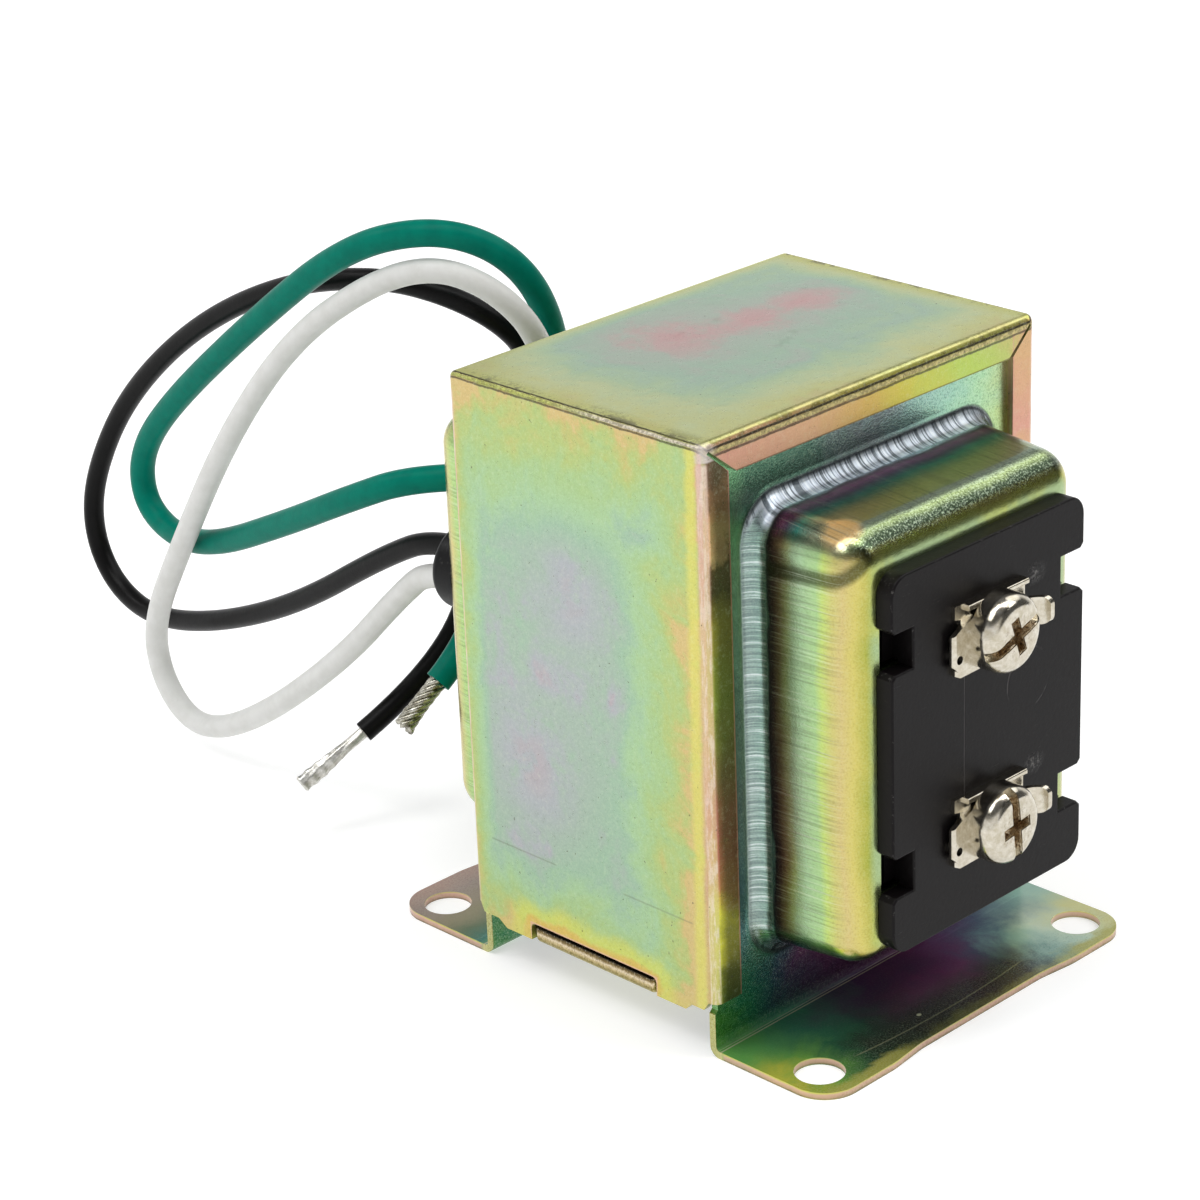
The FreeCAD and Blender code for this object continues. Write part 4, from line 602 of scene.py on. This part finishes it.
def strap_material():
    m = Mat("strap_plating")
    g = m.noise((1.5, 2.6, 1.5), 4, 0.7, 41.0)
    g2 = m.noise((3.0, 6.0, 3.0), 3, 0.6, 42.0)
    zz = m.add(m.z, m.mul(m.sub(g, 0.5), 0.5))
    # painted shading of the rounded bar seen through the slot: a painted highlight band across its middle and a painted
    # shadow under the slot's top edge
    edge_painted_shading = m.ramp(unit(m, zz, 4.3, 6.1), [
        (0.0, lin(112, 96, 52)), (0.12, lin(172, 160, 92)), (0.35, lin(140, 126, 66)), (0.52, lin(196, 176, 130)), (0.66, lin(226, 208, 178)),
        (0.80, lin(134, 112, 66)), (1.0, lin(40, 32, 18))])
    flat_c = m.ramp(m.step(g, 0.34, 0.66), [(0.0, lin(140, 132, 70)), (0.5, lin(180, 190, 108)), (1.0, lin(196, 206, 140))])
    c = m.mix(m.step(m.math("ABSOLUTE", m.x), 23.2, 23.6), flat_c, edge_painted_shading)
    c = m.mix(m.mul(m.step(g2, 0.50, 0.66), 0.45), c, lin(58, 48, 26))
    c = m.mix(m.mul(m.step(g2, 0.44, 0.32), 0.35), c, lin(232, 222, 196))
    m.set(color=c, metal=0.80, rough=m.add(0.26, m.mul(m.sub(g2, 0.5), 0.3)), normal=m.bump(m.add(g, m.mul(g2, 0.5)), 0.4, 0.0001))
    return m


dress("outer_shell", shell_material())
dress("front_end_bell", bell_material("front_bell_plating", -1, front_foot))
dress("rear_end_bell", bell_material("rear_bell_plating", 1, rear_foot))
dress("bottom_strap", strap_material())


# ------------------------------------------------------------------ board, bushing and terminals
def board_material(name, base, gloss):
    m = Mat(name)
    g = m.noise((2.2, 2.2, 2.2), 5, 0.7, 51.0)
    cloudy = m.noise((0.22, 0.22, 0.22), 5, 0.6, 52.0)
    sc1 = m.noise((0.35, 1.0, 6.0), 3, 0.7, 53.0)
    scuff = m.mul(m.step(sc1, 0.665, 0.72), m.step(cloudy, 0.45, 0.62))
    c = m.mix(m.mul(m.step(g, 0.45, 0.75), 0.5), base, tuple(1.7 * k for k in base))
    c = m.mix(m.mul(scuff, 0.30), c, lin(74, 70, 68))
    # the parting line of the mould's insert, and an ejector's faint ring
    face = m.step(m.y, -31.0, -31.25)
    line = m.mul(m.mul(face, m.band(m.x, -3.35, 0.03, 0.07)), m.step(m.math("ABSOLUTE", m.sub(m.z, 29.5)), 10.2, 9.8))
    rr = m.math("SQRT", m.add(m.mul(m.sub(m.x, 6.6), m.sub(m.x, 6.6)), m.mul(m.sub(m.z, 35.2), m.sub(m.z, 35.2))))
    ring = m.mul(m.mul(face, m.band(rr, 3.3, 0.05, 0.10)), m.step(cloudy, 0.40, 0.55))
    # flash of clear moulding at the upper right of each terminal, and nicks along the top edge
    flash = None
    for fz in (43.1, 22.5):
        p = patch(m, m.x, m.z, 7.4, fz + 3.2, 1.2, 0.9, 0.6, m.mul(m.sub(g, 0.5), 2.4))
        flash = p if flash is None else m.math("MAXIMUM", flash, p)
    flash = m.mul(flash, face)
    c = m.mix(m.mul(m.math("MAXIMUM", line, ring), 0.55), c, lin(66, 62, 62))
    c = m.mix(m.mul(m.mul(flash, m.step(g, 0.50, 0.62)), 0.6), c, lin(120, 118, 116))
    edge = m.mul(off_axis(m, 0.99, 0.9), m.step(g, 0.58, 0.66))
    c = m.mix(m.mul(edge, 0.5), c, lin(96, 94, 92))
    rough = m.add(gloss, m.add(m.mul(m.sub(g, 0.5), 0.22), m.add(m.mul(scuff, 0.15), m.mul(flash, -0.25))))
    h = m.add(m.add(m.mul(g, 0.6), m.mul(m.math("MAXIMUM", line, ring), -1.2)), m.add(m.mul(scuff, -0.4), m.mul(flash, m.mul(g, 2.5))))
    m.set(color=c, metal=0.0, rough=rough, spec=0.13, normal=m.bump(h, 0.35, 0.00010))
    return m


dress("terminal_board", board_material("board_plastic", lin(13, 10, 11), 0.38))
dress("lead_bushing", board_material("bushing_plastic", lin(14, 14, 15), 0.34))


def nickel_material(name, zc, recess):
    m = Mat(name)
    g = m.noise((1.3, 1.3, 1.3), 5, 0.7, 61.0)
    f = m.noise((5.0, 5.0, 5.0), 3, 0.7, 62.0)
    sc1 = m.noise((1.2, 1.2, 9.0), 3, 0.75, 63.0)
    c = m.ramp(m.step(g, 0.3, 0.7), [(0.0, lin(186, 178, 158)), (0.5, lin(198, 191, 175)), (1.0, lin(210, 205, 192))])
    c = m.mix(m.mul(m.step(sc1, 0.60, 0.70), 0.20), c, lin(140, 130, 110))
    h = m.add(m.mul(g, 0.14), m.add(m.mul(f, 0.05), m.mul(sc1, 0.10)))
    rough = m.add(0.15, m.mul(m.sub(f, 0.4), 0.18))
    strength = 0.35
    if recess:
        # the driver's bites in the recess: rough, brown and torn
        rr = m.math("SQRT", m.add(m.mul(m.x, m.x), m.mul(m.sub(m.z, zc), m.sub(m.z, zc))))
        deep = m.mul(m.step(m.y, -35.2, -34.95), m.step(rr, 3.3, 2.7))
        torn = m.noise((2.4, 3.4, 2.4), 5, 0.85, 64.0 + zc)
        cr = m.ramp(m.step(torn, 0.40, 0.60), [(0.0, lin(88, 66, 46)), (0.3, lin(168, 140, 104)), (0.6, lin(214, 196, 164)), (1.0, lin(244, 236, 218))])
        c = m.mix(deep, c, cr)
        h = m.add(h, m.mul(m.mul(torn, deep), 8.0))
        wear = m.mul(m.step(rr, 2.9, 2.0), m.step(torn, 0.52, 0.60))
        c = m.mix(m.mul(wear, 0.45), c, lin(120, 98, 72))
    m.set(color=c, metal=1.0, rough=rough, normal=m.bump(h, strength, 0.00010))
    return m


for tag, zc in (("upper", 43.1), ("lower", 22.5)):
    dress("terminal_plate_" + tag, nickel_material("terminal_nickel_plate_" + tag, zc, False))
    dress("terminal_clamp_" + tag, nickel_material("terminal_nickel_clamp_" + tag, zc, False))
    dress("terminal_screw_" + tag, nickel_material("screw_nickel_" + tag, zc, True))


# ------------------------------------------------------------------ inside
def core_material(name):
    m = Mat(name)
    # each sheet's edge is a fine line across the stack
    sheet = m.math("FRACT", m.mul(m.add(m.y, 40.0), 1.0))
    g = m.noise((0.9, 3.0, 0.9), 5, 0.7, 71.0)
    c = m.ramp(m.step(g, 0.3, 0.7), [(0.0, lin(52, 52, 56)), (0.5, lin(92, 92, 96)), (1.0, lin(132, 130, 128))])
    rust = m.noise((0.3, 0.3, 0.3), 4, 0.7, 72.0)
    c = m.mix(m.mul(m.step(rust, 0.60, 0.72), 0.4), c, lin(120, 82, 56))
    c = m.mix(m.mul(m.step(m.math("ABSOLUTE", m.sub(sheet, 0.5)), 0.40, 0.47), 0.5), c, lin(30, 30, 32))
    m.set(color=c, metal=0.85, rough=m.add(0.42, m.mul(m.sub(g, 0.5), 0.3)), normal=m.bump(m.add(g, sheet), 0.3, 0.0001))
    return m


def winding_material(name, base, pitch, axis):
    """Enamelled wire laid turn beside turn along X."""
    m = Mat(name)
    turn_ = m.math("SINE", m.mul(m.x, 2 * math.pi / pitch))
    g = m.noise((0.5, 0.12, 0.12), 4, 0.6, 81.0)
    c = m.mix(m.step(g, 0.35, 0.7), base, tuple(0.55 * k for k in base))
    c = m.mix(m.mul(m.step(turn_, -0.4, -1.0), 0.7), c, tuple(0.18 * k for k in base))
    m.set(color=c, metal=0.75, rough=m.add(0.28, m.mul(m.sub(g, 0.5), 0.2)), coat=0.5, normal=m.bump(turn_, 0.7, 0.00012))
    return m


def paper_material(name, base, fibre):
    m = Mat(name)
    g = m.noise((0.6, 0.6, 2.4), 5, 0.7, 91.0)
    f = m.noise((3.0, 3.0, 3.0), 4, 0.7, 92.0)
    c = m.mix(m.step(g, 0.3, 0.7), base, tuple(0.72 * k for k in base))
    c = m.mix(m.mul(m.step(f, 0.58, 0.72), 0.3), c, tuple(min(1.0, 1.5 * k) for k in base))
    m.set(color=c, metal=0.0, rough=m.add(fibre, m.mul(m.sub(f, 0.5), 0.2)), spec=0.3, normal=m.bump(m.add(f, g), 0.4, 0.0001))
    return m


def metal_material(name, lo, hi, rough):
    m = Mat(name)
    g = m.noise((1.1, 1.1, 1.1), 5, 0.7, 95.0)
    f = m.noise((5.0, 5.0, 5.0), 3, 0.65, 96.0)
    c = m.ramp(m.step(g, 0.3, 0.7), [(0.0, lo), (1.0, hi)])
    m.set(color=c, metal=1.0, rough=m.add(rough, m.mul(m.sub(f, 0.45), 0.2)), normal=m.bump(m.add(g, m.mul(f, 0.4)), 0.35, 0.0001))
    return m


core = core_material("core_steel")
for nd in ("e_laminations", "i_laminations"):
    dress(nd, core)
dress("bobbin", paper_material("bobbin_plastic", lin(206, 198, 176), 0.45))
dress("primary_winding", winding_material("magnet_wire_primary", lin(178, 92, 44), 0.30, "x"))
dress("secondary_winding", winding_material("magnet_wire_secondary", lin(190, 104, 50), 0.80, "x"))
tape = paper_material("coil_tape", lin(206, 176, 84), 0.30)
for nd in ("primary_tape", "secondary_tape"):
    dress(nd, tape)
liner = paper_material("liner_paper", lin(96, 100, 92), 0.62)
for nd in ("insulation_liner_front", "insulation_liner_rear"):
    dress(nd, liner)
dress("thermal_cutoff", metal_material("cutoff_can", lin(150, 146, 138), lin(204, 202, 196), 0.3))
tinned = metal_material("tinned_copper", lin(176, 173, 164), lin(226, 225, 219), 0.34)
for nd in ("ground_ring_terminal", "lead_white_bare_end", "lead_green_bare_end", "lead_black_bare_end"):
    dress(nd, tinned)
for nd in ("primary_splice_black", "primary_splice_white"):
    dress(nd, metal_material("tinned_splice_" + nd[-5:], lin(128, 124, 114), lin(200, 198, 190), 0.28))
sleeve = paper_material("leadout_sleeve", lin(226, 220, 200), 0.5)
for nd in ("secondary_leadout_upper", "secondary_leadout_lower"):
    dress(nd, sleeve)
dress("ground_screw", metal_material("ground_screw_green", lin(10, 74, 36), lin(44, 140, 74), 0.28))
dress("ground_lock_washer", metal_material("washer_steel", lin(140, 134, 112), lin(200, 196, 170), 0.26))

# ------------------------------------------------------------------ leads
WHITE = [(-11.2, 26.4, 34.9), (-11.2, 36.6, 34.9), (-11.5, 42.0, 30.2), (-11.8, 51.5, 20.4),
         (-12.2, 64.6, 10.0), (-12.5, 74.6, 4.3), (-12.6, 81.0, 3.7), (-12.6, 85.6, 8.3),
         (-12.5, 86.3, 15.0), (-12.3, 80.4, 25.5), (-11.7, 69.6, 42.9), (-10.6, 58.1, 56.5),
         (-8.4, 46.3, 64.8), (-6.1, 38.7, 67.3), (-3.0, 33.0, 65.0), (0.9, 30.5, 59.1),
         (5.9, 33.6, 46.9), (15.0, 36.5, 25.0)]
GREEN = [(-8.3, 33.6, 45.2), (-12.2, 38.3, 45.1), (-13.4, 47.6, 40.7), (-12.1, 59.8, 34.5),
         (-9.7, 76.7, 26.5), (-7.7, 87.3, 24.5), (-7.2, 93.1, 27.5), (-7.4, 92.4, 34.1),
         (-8.0, 84.4, 42.4), (-8.9, 67.3, 55.7), (-9.1, 50.6, 67.7), (-6.1, 40.2, 71.2),
         (-1.3, 34.7, 69.2), (3.4, 32.8, 63.2), (8.3, 35.5, 52.8), (3.0, 40.4, 36.6),
         (-6.3, 35.4, 25.8), (-11.5, 36.6, 21.3)]
BLACK = [(-11.2, 26.4, 38.7), (-11.2, 35.4, 38.7), (-10.6, 45.2, 33.8), (-9.0, 62.6, 22.8),
         (-7.3, 79.9, 15.0), (-6.0, 94.5, 11.0), (-5.5, 102.9, 13.0), (-5.2, 107.0, 19.0),
         (-4.9, 105.9, 26.9), (-4.6, 98.2, 38.8), (-4.4, 84.1, 50.6), (-4.5, 67.0, 59.3),
         (-3.1, 51.9, 62.8), (-0.8, 42.6, 61.9), (3.8, 38.6, 57.8), (8.3, 39.8, 52.1),
         (10.5, 44.4, 45.5), (4.8, 48.5, 34.0), (0.8, 44.6, 19.8), (-12.0, 49.3, 11.5)]


def lead(name, pts, d, exit_at, length, mat, extra):
    cu = bpy.data.curves.new(name, "CURVE")
    cu.dimensions = "3D"
    sp = cu.splines.new("NURBS")
    sp.points.add(len(pts) - 1)
    for p, co in zip(sp.points, pts):
        p.co = (co[0] * MM, co[1] * MM, co[2] * MM, 1.0)
    sp.order_u = 3
    sp.use_endpoint_u = True
    sp.resolution_u = 16
    cu.bevel_depth = d / 2 * MM
    cu.bevel_resolution = 8
    cu.use_fill_caps = True
    cu.materials.append(mat.m)
    o = bpy.data.objects.new(name, cu)
    scene.collection.objects.link(o)
    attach(o, "root")
    return o


def pvc_material(name, base, dark, rough, spec, dirt):
    m = Mat(name)
    g = m.noise((0.5, 0.5, 0.5), 5, 0.6, 101.0)
    f = m.noise((4.0, 4.0, 4.0), 4, 0.65, 102.0)
    s = m.noise((1.6, 1.6, 1.6), 4, 0.75, 103.0)
    c = m.mix(m.step(g, 0.3, 0.72), base, dark)
    c = m.mix(m.mul(m.step(s, 0.64, 0.74), 0.35), c, dirt)
    m.set(color=c, metal=0.0, rough=m.add(rough, m.mul(m.sub(f, 0.5), 0.16)), spec=spec, normal=m.bump(m.add(f, m.mul(g, 1.5)), 0.18, 0.0001))
    return m


wm = pvc_material("lead_white_pvc", lin(213, 213, 210), lin(205, 205, 201), 0.42, 0.25, lin(194, 192, 187))
gm = pvc_material("lead_green_pvc", lin(0, 116, 98), lin(0, 106, 90), 0.36, 0.05, lin(4, 124, 106))
bm_ = pvc_material("lead_black_pvc", lin(13, 12, 12), lin(8, 8, 8), 0.36, 0.10, lin(30, 30, 30))


def tube(bm, path, radii, segs=10, twist=None, flat=None):
    """Skins a path with rings; radii gives each ring's radius, twist its own turn."""
    n = len(path)
    t0 = (path[1] - path[0]).normalized()
    side = t0.orthogonal().normalized()
    rings = []
    for i in range(n):
        a_ = path[min(i + 1, n - 1)] - path[max(i - 1, 0)]
        a_.normalize()
        side = (side - a_ * side.dot(a_)).normalized()
        up_ = a_.cross(side)
        ring = []
        for k in range(segs):
            th = 2 * math.pi * k / segs
            r = radii[i]
            if twist:
                r *= 1.0 + twist[1] * math.cos(twist[0] * th + twist[2] * i)
            fx_, fy_ = (flat[i] if flat else (1.0, 1.0))
            ring.append(bm.verts.new(path[i] + side * (r * fx_ * math.cos(th)) + up_ * (r * fy_ * math.sin(th))))
        rings.append(ring)
    for i in range(n - 1):
        for k in range(segs):
            bm.faces.new((rings[i][k], rings[i][(k + 1) % segs], rings[i + 1][(k + 1) % segs], rings[i + 1][k]))
    bm.faces.new(list(reversed(rings[0])))
    bm.faces.new(rings[-1])


def mesh_piece(name, bm, mat, slot, *nodes):
    bmesh.ops.recalc_face_normals(bm, faces=bm.faces)
    me_ = bpy.data.meshes.new(name)
    bm.to_mesh(me_)
    bm.free()
    for p_ in me_.polygons:
        p_.use_smooth = True
    me_.materials.append(mat.m)
    o_ = bpy.data.objects.new(name, me_)
    scene.collection.objects.link(o_)
    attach(o_, "root")
    if nodes:
        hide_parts(*nodes)
    return o_


def bare_strands(name, tip, direction, length, count, r_strand, r_lay, pitch, flare, mat, node, curl=0.0):
    """Twisted bare strands that leave the insulation along one direction."""
    a_ = Vector(direction).normalized()
    s_ = a_.orthogonal().normalized()
    u_ = a_.cross(s_)
    bm = bmesh.new()
    start = Vector(tip) * MM
    steps = 34
    for k in range(count):
        core_ = k == 0
        path = []
        ph = 2 * math.pi * k / max(1, count - 1)
        jit = 0.35 * math.sin(2.1 * k + 0.7)
        for i in range(steps + 1):
            t_ = i / steps
            d_ = (-1.0 + t_ * (length + 1.0 + (0.0 if core_ else 0.28 * jit)))
            th = ph + 2 * math.pi * d_ / pitch
            rr_ = 0.0 if core_ else r_lay * (1.0 + flare * max(0.0, t_ - 0.55) ** 1.5 * (1.0 + jit))
            bend_ = curl * max(0.0, t_ - 0.3) ** 2
            path.append(start + (a_ * d_ + s_ * (rr_ * math.cos(th) + bend_) + u_ * (rr_ * math.sin(th))) * MM)
        tube(bm, path, [r_strand * MM] * (steps + 1), 8)
    return mesh_piece(name, bm, mat, "tinned_copper", node)


def bare_fluted(name, tip, direction, length, r, flutes, pitch, mat, node, turned=False):
    """A tinned conductor: fused strands that show as flutes, squeezed flat at the tip."""
    a_ = Vector(direction).normalized()
    bm = bmesh.new()
    start = Vector(tip) * MM
    steps = 60
    path, radii, flat = [], [], []
    for i in range(steps + 1):
        t_ = i / steps
        path.append(start + a_ * ((-1.0 + t_ * (length + 1.0)) * MM))
        sq = max(0.0, min(1.0, (t_ - 0.35) / 0.4))
        end_ = 1.0 if t_ < 0.985 else 0.82
        bite = 1.0 + 0.07 * math.sin(t_ * 46.0) * sq
        radii.append(r * MM * end_ * bite)
        flat.append((1.0 + 0.42 * sq, 1.0 - 0.34 * sq) if turned else (1.0 - 0.34 * sq, 1.0 + 0.42 * sq))
    tube(bm, path, radii, 42, (flutes, 0.05, 2 * math.pi * (length / steps) / pitch * flutes / 3.0), flat)
    return mesh_piece(name, bm, mat, "tinned_copper", node)


strand_mat = metal_material("strand_copper", lin(118, 112, 96), lin(206, 204, 192), 0.26)


def end_dir(pts):
    d_ = Vector(pts[-1]) - Vector(pts[-2])
    return d_.normalized()


ends = {
    "white_lead": bare_fluted("white_bare_end", WHITE[-1], end_dir(WHITE), 9.0, 0.58, 7, 9.0, tinned, "lead_white_bare_end"),
    "green_lead": bare_strands("green_bare_end", GREEN[-1], end_dir(GREEN), 6.2, 8, 0.33, 0.72, 7.0, 0.9, strand_mat, "lead_green_bare_end", 0.4),
    "black_lead": bare_fluted("black_bare_end", BLACK[-1], end_dir(BLACK), 9.2, 0.66, 7, 14.0, tinned, "lead_black_bare_end", True),
}
for name, pts, d, ex, ln, mat in (("white_lead", WHITE, 2.7, (-11.2, 31.7, 34.9), 202.0, wm),
                                  ("green_lead", GREEN, 3.0, (-8.3, 33.6, 45.2), 201.8, gm),
                                  ("black_lead", BLACK, 2.5, (-11.2, 31.7, 38.7), 239.6, bm_)):
    o = lead(name, pts, d, ex, ln, mat, [])
    node = "lead_" + name.split("_")[0]
    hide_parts(node)
